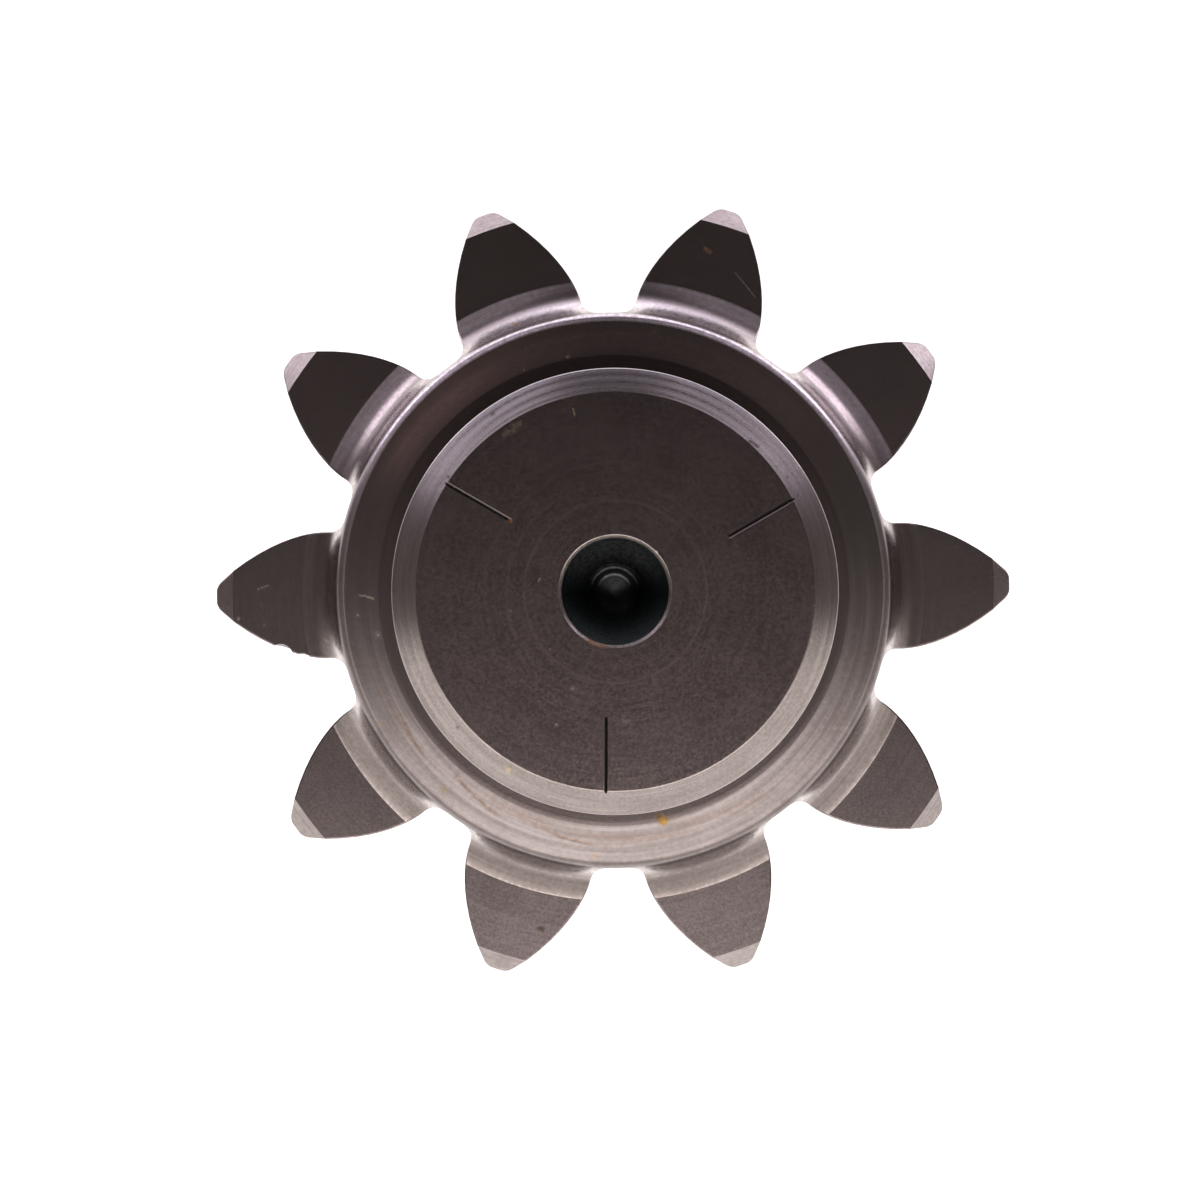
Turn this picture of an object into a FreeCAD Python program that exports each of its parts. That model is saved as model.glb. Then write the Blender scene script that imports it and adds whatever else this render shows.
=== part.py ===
"""Pinion shaft: a turned steel shaft with ten involute teeth hobbed into its own blank.

The shaft stands on its splined drive end at z = 0, with its axis on +Z and the nose up. One tooth is
centred on +X. All sizes are in millimetres and degrees.
"""

import FreeCAD
import Part
import math
import os
import Sketcher

NODE_NAME = "pinion_shaft"

# Driving sizes, written to the sheet under these names.
SIZES = {
    # The pinion: ten teeth would be undercut without the positive shift.
    "tooth_module": 8.0,
    "tooth_count": 10,
    "pressure_angle": 20.0,
    "profile_shift": 0.65,
    "addendum_factor": 0.85,
    "dedendum_factor": 1.15,
    "root_fillet": 2.2,
    "tip_round": 0.5,
    "tip_bevel": 2.3,
    "face_width": 75.0,
    # The boss at each end of the teeth lies just under the root circle, so that the hob clears it.
    "boss_step": 0.15,
    "boss_rise": 7.5,
    "boss_bevel": 0.75,
    # In front, a turned cove leads from the boss to the teeth; behind, a plain cone does.
    "cove_radius": 6.0,
    "cove_reach": 4.75,
    "rear_cone": 4.7,
    # The nose journal, and the flat band that its bearing ring seats on, with a cone falling away outside.
    "nose_radius": 27.5,
    "nose_length": 25.0,
    "nose_bevel": 3.0,
    "nose_bevel_depth": 1.75,
    "abutment_width": 2.65,
    "ring_fall": 0.5,
    # The shallow undercut that lets the grinding wheel run off each journal beside its shoulder.
    "undercut_width": 2.5,
    "undercut_depth": 0.3,
    "undercut_run": 1.1,
    # The bearing journal behind the teeth and the shaft that carries the oil seal.
    "bearing_radius": 30.0,
    "bearing_length": 31.0,
    "seal_radius": 27.5,
    "seal_length": 32.0,
    "shaft_bevel": 1.5,
    # The drive spline and the relief that frees its cutter.
    "spline_module": 2.0,
    "spline_count": 24,
    "spline_angle": 30.0,
    "spline_shift": -0.05,
    "spline_addendum": 0.45,
    "spline_dedendum": 0.55,
    "spline_fillet": 0.32,
    "spline_length": 48.0,
    "spline_bevel": 2.4,
    "relief_width": 4.0,
    "relief_step": 0.3,
    # The centre holes that the shaft was turned between.
    "centre_mouth_radius": 6.6,
    "centre_break": 0.35,
    "centre_pilot_radius": 3.15,
    "centre_pilot_depth": 11.5,
    "centre_cone_angle": 60.0,
    "centre_point_angle": 120.0,
    # The three bites that the face driver's edges left in the nose end.
    "bite_count": 3,
    "bite_start": 15.1,
    "bite_length": 9.3,
    "bite_offset": 1.15,
    "bite_half_width": 0.23,
    "bite_depth": 0.22,
    "bite_turn": -0.95,
    # Two nicks in the front edge of one tooth: how far out each lies, its radius and its depth.
    "long_nick_at": 43.8,
    "long_nick_radius": 1.62,
    "long_nick_depth": 0.65,
    "short_nick_at": 41.3,
    "short_nick_radius": 1.13,
    "short_nick_depth": 0.33,
    # How far each cutter's outline runs past the blank.
    "cutter_overrun": 3.0,
}

# A flank is a few arcs, each through three points of the true involute: more on a tooth than on a spline.
TOOTH_FLANK_ARCS = 3
SPLINE_FLANK_ARCS = 1
# How far above the tip circle a tip's round, or a bare flank, reaches before the space opens out.
TIP_CROSSING = 0.05


def size(name):
    """The expression for one cell of the sheet."""
    return "Sizes." + name


def stacked(*names):
    """The expression for the height that these lengths reach, one on the other."""
    return " + ".join(size(name) for name in names)


SPLINE_TOP = stacked("spline_length")
RELIEF_TOP = stacked("spline_length", "relief_width")
SEAL_TOP = RELIEF_TOP + " + " + size("seal_length")
REAR_SHOULDER = SEAL_TOP + " + " + size("bearing_length")
TEETH_BOTTOM = REAR_SHOULDER + " + " + size("boss_rise")
TEETH_TOP = TEETH_BOTTOM + " + " + size("face_width")
FRONT_SHOULDER = TEETH_TOP + " + " + size("boss_rise")
NOSE_END = FRONT_SHOULDER + " + " + size("nose_length")

TIP_RADIUS = "Sizes.tooth_module * (Sizes.tooth_count / 2 + Sizes.profile_shift + Sizes.addendum_factor)"
ROOT_RADIUS = "Sizes.tooth_module * (Sizes.tooth_count / 2 + Sizes.profile_shift - Sizes.dedendum_factor)"
BOSS_RADIUS = ROOT_RADIUS + " - Sizes.boss_step"
COVE_TOP_RADIUS = BOSS_RADIUS + " + Sizes.cove_reach"
COVE_HEIGHT = "sqrt(Sizes.cove_radius ^ 2 - (Sizes.cove_radius - Sizes.cove_reach) ^ 2)"
ABUTMENT_RADIUS = "Sizes.nose_radius + Sizes.abutment_width"
SPLINE_TIP = "Sizes.spline_module * (Sizes.spline_count / 2 + Sizes.spline_shift + Sizes.spline_addendum)"
SPLINE_ROOT = "Sizes.spline_module * (Sizes.spline_count / 2 + Sizes.spline_shift - Sizes.spline_dedendum)"
RELIEF_RADIUS = SPLINE_ROOT + " - Sizes.relief_step"


def make_sheet(document):
    """The spreadsheet of driving sizes, one plain number to a row, with its name as the alias."""
    sheet = document.addObject("Spreadsheet::Sheet", "Sizes")
    for row, (name, value) in enumerate(SIZES.items(), start=1):
        sheet.set("A%d" % row, name)
        sheet.set("B%d" % row, str(value))
        sheet.setAlias("B%d" % row, name)
    document.recompute()
    return sheet


def origin_part(body, role):
    """One of the body's own origin planes or axes."""
    return next(item for item in body.Origin.OriginFeatures if item.Role == role)


def new_sketch(body, name, role):
    """An empty sketch on one of the body's origin planes."""
    sketch = body.newObject("Sketcher::SketchObject", name)
    sketch.AttachmentSupport = [(origin_part(body, role), "")]
    sketch.MapMode = "FlatFace"
    return sketch


def value_of(item, text):
    """What an expression comes to now."""
    return float(item.evalExpression(text))


def arc_edge(start, end, radius, side):
    """The arc from start to end with its centre on the left (1) or on the right (-1) of its way."""
    chord = end - start
    rise = math.sqrt(radius ** 2 - (chord.Length / 2) ** 2)
    left = FreeCAD.Vector(-chord.y, chord.x, 0).normalize()
    circle = Part.Circle((start + end) / 2 + left * rise * side, FreeCAD.Vector(0, 0, 1), radius)
    first, last = (start, end) if side > 0 else (end, start)
    return Part.ArcOfCircle(circle, circle.parameter(first), circle.parameter(last))


def tie(sketch, kind, text, *places):
    """Adds a dimension whose value is an expression; a distance of nothing puts the point on the axis."""
    if text == "0":
        axis = {"DistanceX": -2, "DistanceY": -1}[kind]
        sketch.addConstraint(Sketcher.Constraint("PointOnObject", *places, axis))
        return
    index = sketch.addConstraint(Sketcher.Constraint(kind, *places, value_of(sketch, text)))
    sketch.setExpression("Constraints[%d]" % index, text)


def draw_outline(sketch, corners):
    """Draws a closed outline whose sizes are all expressions.

    Each corner is (out, up) and starts a straight edge, or (out, up, radius, side) and starts an arc of
    that radius to the next corner.
    """
    places = [FreeCAD.Vector(value_of(sketch, corner[0]), value_of(sketch, corner[1]), 0)
              for corner in corners]
    backward = []
    for corner, start, end in zip(corners, places, places[1:] + places[:1]):
        if len(corner) == 2:
            sketch.addGeometry(Part.LineSegment(start, end))
            backward.append(False)
        else:
            sketch.addGeometry(arc_edge(start, end, value_of(sketch, corner[2]), corner[3]))
            backward.append(corner[3] < 0)
    starts = [2 if turned else 1 for turned in backward]
    for edge, corner in enumerate(corners):
        following = (edge + 1) % len(corners)
        ends_at = 3 - starts[edge]
        sketch.addConstraint(Sketcher.Constraint("Coincident", edge, ends_at, following, starts[following]))
        tie(sketch, "DistanceX", corner[0], edge, starts[edge])
        tie(sketch, "DistanceY", corner[1], edge, starts[edge])
        if len(corner) == 4:
            tie(sketch, "Radius", corner[2], edge)


def turn_blank(body):
    """The turned shaft: its half outline from the drive end up to the nose, spun about the axis."""
    sketch = new_sketch(body, "BlankOutline", "XZ_Plane")
    bevel = size("shaft_bevel")
    bevel_in = " - " + size("boss_bevel")
    wide = size("undercut_width")
    floor = " - " + size("undercut_depth")
    run = size("undercut_run")
    cove = size("cove_radius")
    tip_bevel = size("tip_bevel")
    draw_outline(sketch, [
        ("0", "0"),
        (SPLINE_TIP + " - Sizes.spline_bevel", "0"),
        (SPLINE_TIP, size("spline_bevel")),
        (SPLINE_TIP, SPLINE_TOP),
        (RELIEF_RADIUS, SPLINE_TOP),
        (RELIEF_RADIUS, RELIEF_TOP),
        (size("seal_radius") + " - " + bevel, RELIEF_TOP),
        (size("seal_radius"), RELIEF_TOP + " + " + bevel),
        (size("seal_radius"), SEAL_TOP),
        (size("bearing_radius") + " - " + bevel, SEAL_TOP),
        (size("bearing_radius"), SEAL_TOP + " + " + bevel),
        (size("bearing_radius"), REAR_SHOULDER + " - " + wide),
        (size("bearing_radius") + floor, REAR_SHOULDER + " - " + wide + " + " + run),
        (size("bearing_radius") + floor, REAR_SHOULDER),
        (BOSS_RADIUS + bevel_in, REAR_SHOULDER),
        (BOSS_RADIUS, REAR_SHOULDER + " + " + size("boss_bevel")),
        (BOSS_RADIUS, TEETH_BOTTOM + " - Sizes.rear_cone"),
        (BOSS_RADIUS + " + Sizes.rear_cone", TEETH_BOTTOM),
        (TIP_RADIUS + " - " + tip_bevel, TEETH_BOTTOM),
        (TIP_RADIUS, TEETH_BOTTOM + " + " + tip_bevel),
        (TIP_RADIUS, TEETH_TOP + " - " + tip_bevel),
        (TIP_RADIUS + " - " + tip_bevel, TEETH_TOP),
        (COVE_TOP_RADIUS, TEETH_TOP, cove, -1),
        (BOSS_RADIUS, TEETH_TOP + " + " + COVE_HEIGHT),
        (BOSS_RADIUS, FRONT_SHOULDER + " - Sizes.ring_fall" + bevel_in),
        (BOSS_RADIUS + bevel_in, FRONT_SHOULDER + " - Sizes.ring_fall"),
        (ABUTMENT_RADIUS, FRONT_SHOULDER),
        (size("nose_radius") + floor, FRONT_SHOULDER),
        (size("nose_radius") + floor, FRONT_SHOULDER + " + " + wide + " - " + run),
        (size("nose_radius"), FRONT_SHOULDER + " + " + wide),
        (size("nose_radius"), NOSE_END + " - Sizes.nose_bevel_depth"),
        (size("nose_radius") + " - Sizes.nose_bevel", NOSE_END),
        ("0", NOSE_END),
    ])
    blank = body.newObject("PartDesign::Revolution", "Blank")
    blank.Profile = sketch
    blank.ReferenceAxis = (sketch, ["V_Axis"])
    blank.Angle = 360
    return blank


def involute_flank(base_radius, roll, half_angle):
    """A point of a tooth's upper flank and the way out of the tooth there.

    The tooth is centred on +X, and is half_angle wide to each side where its flank leaves the base circle.
    """
    turn = half_angle - roll
    out = FreeCAD.Vector(-math.sin(turn), math.cos(turn), 0)
    touch = FreeCAD.Vector(math.cos(turn), math.sin(turn), 0) * base_radius
    return touch + out * base_radius * roll, out


def base_half_angle(gear):
    """Half of the tooth's angle at the base circle, in radians."""
    pressure = math.radians(gear["angle"])
    involute = math.tan(pressure) - pressure
    thickness = math.pi / 2 + 2 * gear["shift"] * math.tan(pressure)
    return thickness / gear["count"] + involute


def base_radius_of(gear):
    """The radius of the circle that the flanks unroll from."""
    return gear["module"] * gear["count"] / 2 * math.cos(math.radians(gear["angle"]))


def space_edges(gear, overrun):
    """The outline of the space above the tooth on +X, as arcs and straight lines.

    Its first half goes from the root out along the tooth's flank: a fillet, the involute, the tip's round
    if it has one, and a line clear of the blank. The other half mirrors it about the middle of the space.
    """
    base = base_radius_of(gear)
    half_angle = base_half_angle(gear)
    pitch_half = math.pi / gear["count"]
    fillet = gear["fillet"]
    rounding = gear["tip_round"]
    # The fillet touches the root circle from outside and the flank from the space's side.
    first_roll = (math.sqrt((gear["root"] + fillet) ** 2 - base ** 2) - fillet) / base
    # The tip's round crosses the tip circle a little before it would touch it, which leaves a clean edge.
    round_centre = gear["tip"] + TIP_CROSSING - rounding
    last_roll = (math.sqrt(round_centre ** 2 - base ** 2) + rounding) / base
    # Rolls in equal ratios put more points where the flank curves most.
    arcs = gear["flank_arcs"]
    ratio = (last_roll / first_roll) ** (0.5 / arcs)
    flank = [involute_flank(base, first_roll * ratio ** step, half_angle)[0]
             for step in range(2 * arcs + 1)]
    start, start_way = involute_flank(base, first_roll, half_angle)
    end, end_way = involute_flank(base, last_roll, half_angle)
    fillet_centre = start + start_way * fillet
    root_touch = fillet_centre * (gear["root"] / fillet_centre.Length)
    edges = [(root_touch, middle_of_arc(fillet_centre, root_touch, start), start)]
    edges += [tuple(flank[step:step + 3]) for step in range(0, 2 * arcs, 2)]
    crossing = end
    if rounding:
        tip_centre = end - end_way * rounding
        crossing = tip_centre * ((tip_centre.Length + rounding) / tip_centre.Length)
        edges.append((end, middle_of_arc(tip_centre, end, crossing), crossing))
    outside = crossing * ((gear["tip"] + overrun) / crossing.Length)
    edges.append((crossing, outside))
    mirror = FreeCAD.Rotation(FreeCAD.Vector(0, 0, 1), math.degrees(2 * pitch_half))

    def mirrored(point):
        return mirror.multVec(FreeCAD.Vector(point.x, -point.y, 0))

    way_to_middle = FreeCAD.Vector(math.cos(pitch_half), math.sin(pitch_half), 0)
    other_half = [tuple(mirrored(point) for point in reversed(edge)) for edge in reversed(edges)]
    far_arc = [(outside, way_to_middle * (gear["tip"] + overrun), mirrored(outside))]
    root_arc = [(mirrored(root_touch), way_to_middle * gear["root"], root_touch)]
    return [Part.Arc(*edge) if len(edge) == 3 else Part.LineSegment(*edge)
            for edge in edges + far_arc + other_half + root_arc]


def middle_of_arc(centre, start, end):
    """The point half way along the shorter arc about the centre."""
    radius = (start - centre).Length
    return centre + ((start + end) / 2 - centre).normalize() * radius


def cut_teeth(body, sheet, name, gear):
    """Cuts one tooth space up the shaft and repeats it round the axis; the sketch starts at the end face."""
    sketch = new_sketch(body, name + "Space", "XY_Plane")
    for edge in space_edges(gear, sheet.cutter_overrun):
        index = sketch.addGeometry(edge)
        sketch.addConstraint(Sketcher.Constraint("Block", index))
    space = body.newObject("PartDesign::Pocket", name + "Cut")
    space.Profile = sketch
    space.Reversed = True
    space.setExpression("Length", gear["reach"])
    teeth = body.newObject("PartDesign::PolarPattern", name + "Teeth")
    teeth.Originals = [space]
    teeth.Axis = (origin_part(body, "Z_Axis"), [""])
    teeth.Angle = 360
    teeth.setExpression("Occurrences", gear["repeats"])
    body.Tip = teeth
    return teeth


def pinion_gear(sheet):
    """The sizes of the ten big teeth."""
    return {
        "module": sheet.tooth_module,
        "count": sheet.tooth_count,
        "angle": sheet.pressure_angle,
        "shift": sheet.profile_shift,
        "tip": value_of(sheet, TIP_RADIUS),
        "root": value_of(sheet, ROOT_RADIUS),
        "fillet": sheet.root_fillet,
        "tip_round": sheet.tip_round,
        "flank_arcs": TOOTH_FLANK_ARCS,
        "reach": NOSE_END,
        "repeats": size("tooth_count"),
    }


def spline_gear(sheet):
    """The sizes of the drive spline's teeth; its cutter comes to rest in the relief."""
    return {
        "module": sheet.spline_module,
        "count": sheet.spline_count,
        "angle": sheet.spline_angle,
        "shift": sheet.spline_shift,
        "tip": value_of(sheet, SPLINE_TIP),
        "root": value_of(sheet, SPLINE_ROOT),
        "fillet": sheet.spline_fillet,
        "tip_round": 0.0,
        "flank_arcs": SPLINE_FLANK_ARCS,
        "reach": SPLINE_TOP + " + Sizes.relief_width / 2",
        "repeats": size("spline_count"),
    }


def cut_turned(body, name, corners):
    """Turns away the ring whose half section has these corners."""
    sketch = new_sketch(body, name + "Section", "XZ_Plane")
    draw_outline(sketch, corners)
    groove = body.newObject("PartDesign::Groove", name)
    groove.Profile = sketch
    groove.ReferenceAxis = (sketch, ["V_Axis"])
    groove.Angle = 360
    return groove


def cut_centre_hole(body, name, end, inward):
    """A centre hole with a broken rim, a cone for the lathe's centre, a pilot bore and the drill's point.

    It starts at the height end and goes up where inward is "+", or down where it is "-".
    """

    def at(depth):
        return "%s %s (%s)" % (end, inward, depth)

    mouth = size("centre_mouth_radius")
    pilot = size("centre_pilot_radius")
    cone_depth = "(%s - %s) / tan(Sizes.centre_cone_angle * 0.5 deg)" % (mouth, pilot)
    cone_end = size("centre_break") + " + " + cone_depth
    pilot_end = size("centre_break") + " + Sizes.centre_pilot_depth"
    point_end = pilot_end + " + %s / tan(Sizes.centre_point_angle * 0.5 deg)" % pilot
    return cut_turned(body, name, [
        ("0", end),
        (mouth + " + Sizes.centre_break", end),
        (mouth, at(size("centre_break"))),
        (pilot, at(cone_end)),
        (pilot, at(pilot_end)),
        ("0", at(point_end)),
    ])


def cut_driver_bites(body):
    """The face driver's bites: one V groove in the nose end, beside the line out from the axis, and its copies."""
    sketch = new_sketch(body, "BiteSection", "XZ_Plane")
    turn = "Sizes.bite_turn * 1 deg"
    sketch.AttachmentOffset = FreeCAD.Placement(
        FreeCAD.Vector(), FreeCAD.Rotation(FreeCAD.Vector(0, 1, 0), SIZES["bite_turn"]))
    sketch.setExpression("AttachmentOffset.Base.x", "Sizes.bite_start * sin(%s)" % turn)
    sketch.setExpression("AttachmentOffset.Base.z", "Sizes.bite_start * cos(%s)" % turn)
    sketch.setExpression("AttachmentOffset.Rotation.Angle", "abs(%s)" % turn)
    low = NOSE_END + " - Sizes.bite_depth"
    high = NOSE_END + " + Sizes.bite_depth"
    draw_outline(sketch, [
        ("0 - Sizes.bite_offset", low),
        ("2 * Sizes.bite_half_width - Sizes.bite_offset", high),
        ("0 - 2 * Sizes.bite_half_width - Sizes.bite_offset", high),
    ])
    bite = body.newObject("PartDesign::Pocket", "Bite")
    bite.Profile = sketch
    bite.Reversed = True
    bite.setExpression("Length", size("bite_length"))
    bites = body.newObject("PartDesign::PolarPattern", "Bites")
    bites.Originals = [bite]
    bites.Axis = (origin_part(body, "Z_Axis"), [""])
    bites.Angle = 360
    bites.setExpression("Occurrences", size("bite_count"))
    body.Tip = bites
    return bites


def dent_tooth(body, sheet, name, radius_out, dent_radius, depth):
    """One nick in the front edge of the tooth on -X, on its flank towards -Y, as a spherical dent."""
    gear = pinion_gear(sheet)
    base = base_radius_of(gear)
    roll = math.sqrt((radius_out / base) ** 2 - 1)
    point, way_out = involute_flank(base, roll, base_half_angle(gear))
    half_turn = FreeCAD.Rotation(FreeCAD.Vector(0, 0, 1), 180)
    centre = half_turn.multVec(point + way_out * (dent_radius - depth))
    centre.z = value_of(sheet, TEETH_TOP)
    dent = body.newObject("PartDesign::SubtractiveSphere", name)
    dent.Radius = dent_radius
    dent.AttachmentSupport = [(origin_part(body, "XY_Plane"), "")]
    dent.MapMode = "FlatFace"
    dent.AttachmentOffset = FreeCAD.Placement(centre, FreeCAD.Rotation())
    return dent


def check_cut(document, feature, volume_before):
    """The volume after a cut, once it is sure that the cut took something away."""
    document.recompute()
    volume = feature.Shape.Volume
    if volume >= volume_before:
        raise ValueError("%s cut nothing" % feature.Name)
    return volume


def build(document):
    """Builds the shaft and returns its body."""
    sheet = make_sheet(document)
    body = document.addObject("PartDesign::Body", "PinionShaft")
    body.Label = NODE_NAME
    body.Placement = FreeCAD.Placement()
    blank = turn_blank(body)
    document.recompute()
    volume = blank.Shape.Volume
    volume = check_cut(document, cut_teeth(body, sheet, "Pinion", pinion_gear(sheet)), volume)
    volume = check_cut(document, cut_teeth(body, sheet, "Spline", spline_gear(sheet)), volume)
    volume = check_cut(document, cut_centre_hole(body, "NoseCentre", NOSE_END, "-"), volume)
    volume = check_cut(document, cut_centre_hole(body, "DriveCentre", "0", "+"), volume)
    volume = check_cut(document, cut_driver_bites(body), volume)
    volume = check_cut(document, dent_tooth(body, sheet, "LongNick", sheet.long_nick_at,
                                            sheet.long_nick_radius, sheet.long_nick_depth), volume)
    check_cut(document, dent_tooth(body, sheet, "ShortNick", sheet.short_nick_at,
                                   sheet.short_nick_radius, sheet.short_nick_depth), volume)
    return body


def main():
    """Builds the document, checks every object and writes the shaft."""
    document = FreeCAD.newDocument("PinionShaft")
    body = build(document)
    document.recompute()
    for item in document.Objects:
        if "Invalid" in item.State or "Error" in item.State:
            raise ValueError("%s failed to rebuild" % item.Name)
    if body.Shape.isNull() or not body.Shape.isValid() or len(body.Shape.Solids) != 1:
        raise ValueError("the shaft is not one valid solid")
    os.makedirs("parts", exist_ok=True)
    body.Shape.exportStep(os.path.join("parts", NODE_NAME + ".step"))
    box = body.Shape.BoundBox
    print("%s: %.3f x %.3f x %.3f mm, %.1f cm3, %d faces" % (
        NODE_NAME, box.XLength, box.YLength, box.ZLength, body.Shape.Volume / 1000, len(body.Shape.Faces)))


main()
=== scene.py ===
"""Pinion shaft: the looks of a turned and hobbed steel shaft, seen along its axis from the nose end.

The shaft stands on its splined drive end with its axis on +Z. Sizes are in millimetres and angles in
degrees unless a name says otherwise. The mesh is built in millimetres and turned to metres at the end.
"""

import logging
import math
from collections.abc import Callable, Sequence
from dataclasses import dataclass
from enum import Enum

import bmesh
import bpy
from mathutils import Matrix, Vector


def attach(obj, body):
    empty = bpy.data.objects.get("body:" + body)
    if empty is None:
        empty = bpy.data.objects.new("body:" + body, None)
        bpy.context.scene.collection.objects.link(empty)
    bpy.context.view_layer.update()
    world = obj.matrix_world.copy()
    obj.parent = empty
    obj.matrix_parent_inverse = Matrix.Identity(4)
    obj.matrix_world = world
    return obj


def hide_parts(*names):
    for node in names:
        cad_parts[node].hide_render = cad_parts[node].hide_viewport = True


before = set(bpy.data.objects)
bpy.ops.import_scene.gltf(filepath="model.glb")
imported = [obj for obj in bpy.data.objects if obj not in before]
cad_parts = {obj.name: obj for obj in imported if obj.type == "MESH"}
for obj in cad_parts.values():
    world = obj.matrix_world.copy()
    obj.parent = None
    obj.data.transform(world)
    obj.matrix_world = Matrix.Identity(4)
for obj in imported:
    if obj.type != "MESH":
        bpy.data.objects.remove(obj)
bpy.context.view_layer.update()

LOG = logging.getLogger("pinion_shaft")
MM = 0.001
UP = Vector((0.0, 0.0, 1.0))
# All the rings of the mesh have this many steps, which ten big teeth and 24 spline teeth both divide.
RING_STEPS = 240
MERGE_WITHIN = 1e-4
# Points this close are welded where the turned walls and the teeth meet.
WELD_WITHIN = 5e-4
# A point this close to a circle or an end surface lies on it.
NEAR = 1e-3
# A face this close to a surface or a dent belongs to it.
CLOSE = 0.01
# The part of a broken edge this close to a surface has its finish.
BESIDE = 0.03
# A face is level if its normal rises by more than this.
LEVEL = 0.95
# A face is upright if its normal rises or falls by less than this.
UPRIGHT = 0.02
# The range that most of a noise texture's values lie in.
NOISE_RANGE = (0.3, 0.7)

Mesh, Point, Socket = bmesh.types.BMesh, bmesh.types.BMVert, bpy.types.NodeSocket
Place = tuple[float, float, float]
# The height of an end surface at each radius.
Height = Callable[[float], float]


def linear(code: str) -> tuple[float, ...]:
    """Turns an sRGB hex colour into a linear one.

    Args:
        code: The colour as six hex digits with or without a leading hash.

    Returns:
        Red, green, blue and alpha, linear.
    """
    digits = code.lstrip("#")
    shares = [int(digits[place:place + 2], 16) / 255 for place in (0, 2, 4)]
    bent = [share / 12.92 if share <= 0.04045 else ((share + 0.055) / 1.055) ** 2.4 for share in shares]
    return bent[0], bent[1], bent[2], 1.0


def out_of(place: Vector) -> float:
    """How far a point lies from the axis."""
    return math.hypot(place.x, place.y)


def move_round(point: Point, angle: float, out: float) -> None:
    """Moves a point to an angle about the axis and a distance from it, at its own height."""
    point.co.x, point.co.y = math.cos(angle) * out, math.sin(angle) * out


def points_in(made: dict[str, list]) -> list[Point]:
    """The points among what an operator made."""
    return [item for item in made["geom"] if isinstance(item, Point)]


def turn_mesh(mesh: Mesh, angle: float) -> None:
    """Turns a whole mesh about the axis by an angle in radians."""
    bmesh.ops.rotate(mesh, verts=mesh.verts[:], cent=(0, 0, 0), matrix=Matrix.Rotation(angle, 3, "Z"))


def spin_mesh(mesh: Mesh, angle: float, steps: int, merge: bool = False, copy: bool = False) -> None:
    """Spins a whole mesh about the axis.

    Args:
        mesh: The mesh.
        angle: The whole turn in radians.
        steps: The steps in it.
        merge: Whether the last step joins the first.
        copy: Whether each step is a copy that nothing joins to the one before.
    """
    bmesh.ops.spin(mesh, geom=mesh.verts[:] + mesh.edges[:] + mesh.faces[:], cent=(0, 0, 0), axis=UP,
                   dvec=(0, 0, 0), angle=angle, steps=steps, use_merge=merge, use_normal_flip=False,
                   use_duplicate=copy)


def add_line(mesh: Mesh, places: Sequence[Place]) -> list[Point]:
    """Adds a run of edges, from which an operator makes a surface.

    Args:
        mesh: The mesh that takes it.
        places: Its points in order.

    Returns:
        The new points.
    """
    points = [mesh.verts.new(place) for place in places]
    for start, end in zip(points, points[1:]):
        mesh.edges.new((start, end))
    return points


def add_mesh(mesh: Mesh, part: Mesh) -> None:
    """Moves a finished part into the mesh.

    Args:
        mesh: The mesh that takes the part.
        part: The part, which is freed.
    """
    carrier = bpy.data.meshes.new("part")
    part.to_mesh(carrier)
    part.free()
    mesh.from_mesh(carrier)
    bpy.data.meshes.remove(carrier)


def as_object(name: str, mesh: Mesh) -> bpy.types.Object:
    """Makes an object from a finished mesh.

    Args:
        name: The object's name.
        mesh: The mesh, which is freed.

    Returns:
        The object, at the origin.
    """
    data = bpy.data.meshes.new(name)
    mesh.to_mesh(data)
    mesh.free()
    made = bpy.data.objects.new(name, data)
    bpy.context.scene.collection.objects.link(made)
    return made


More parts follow.
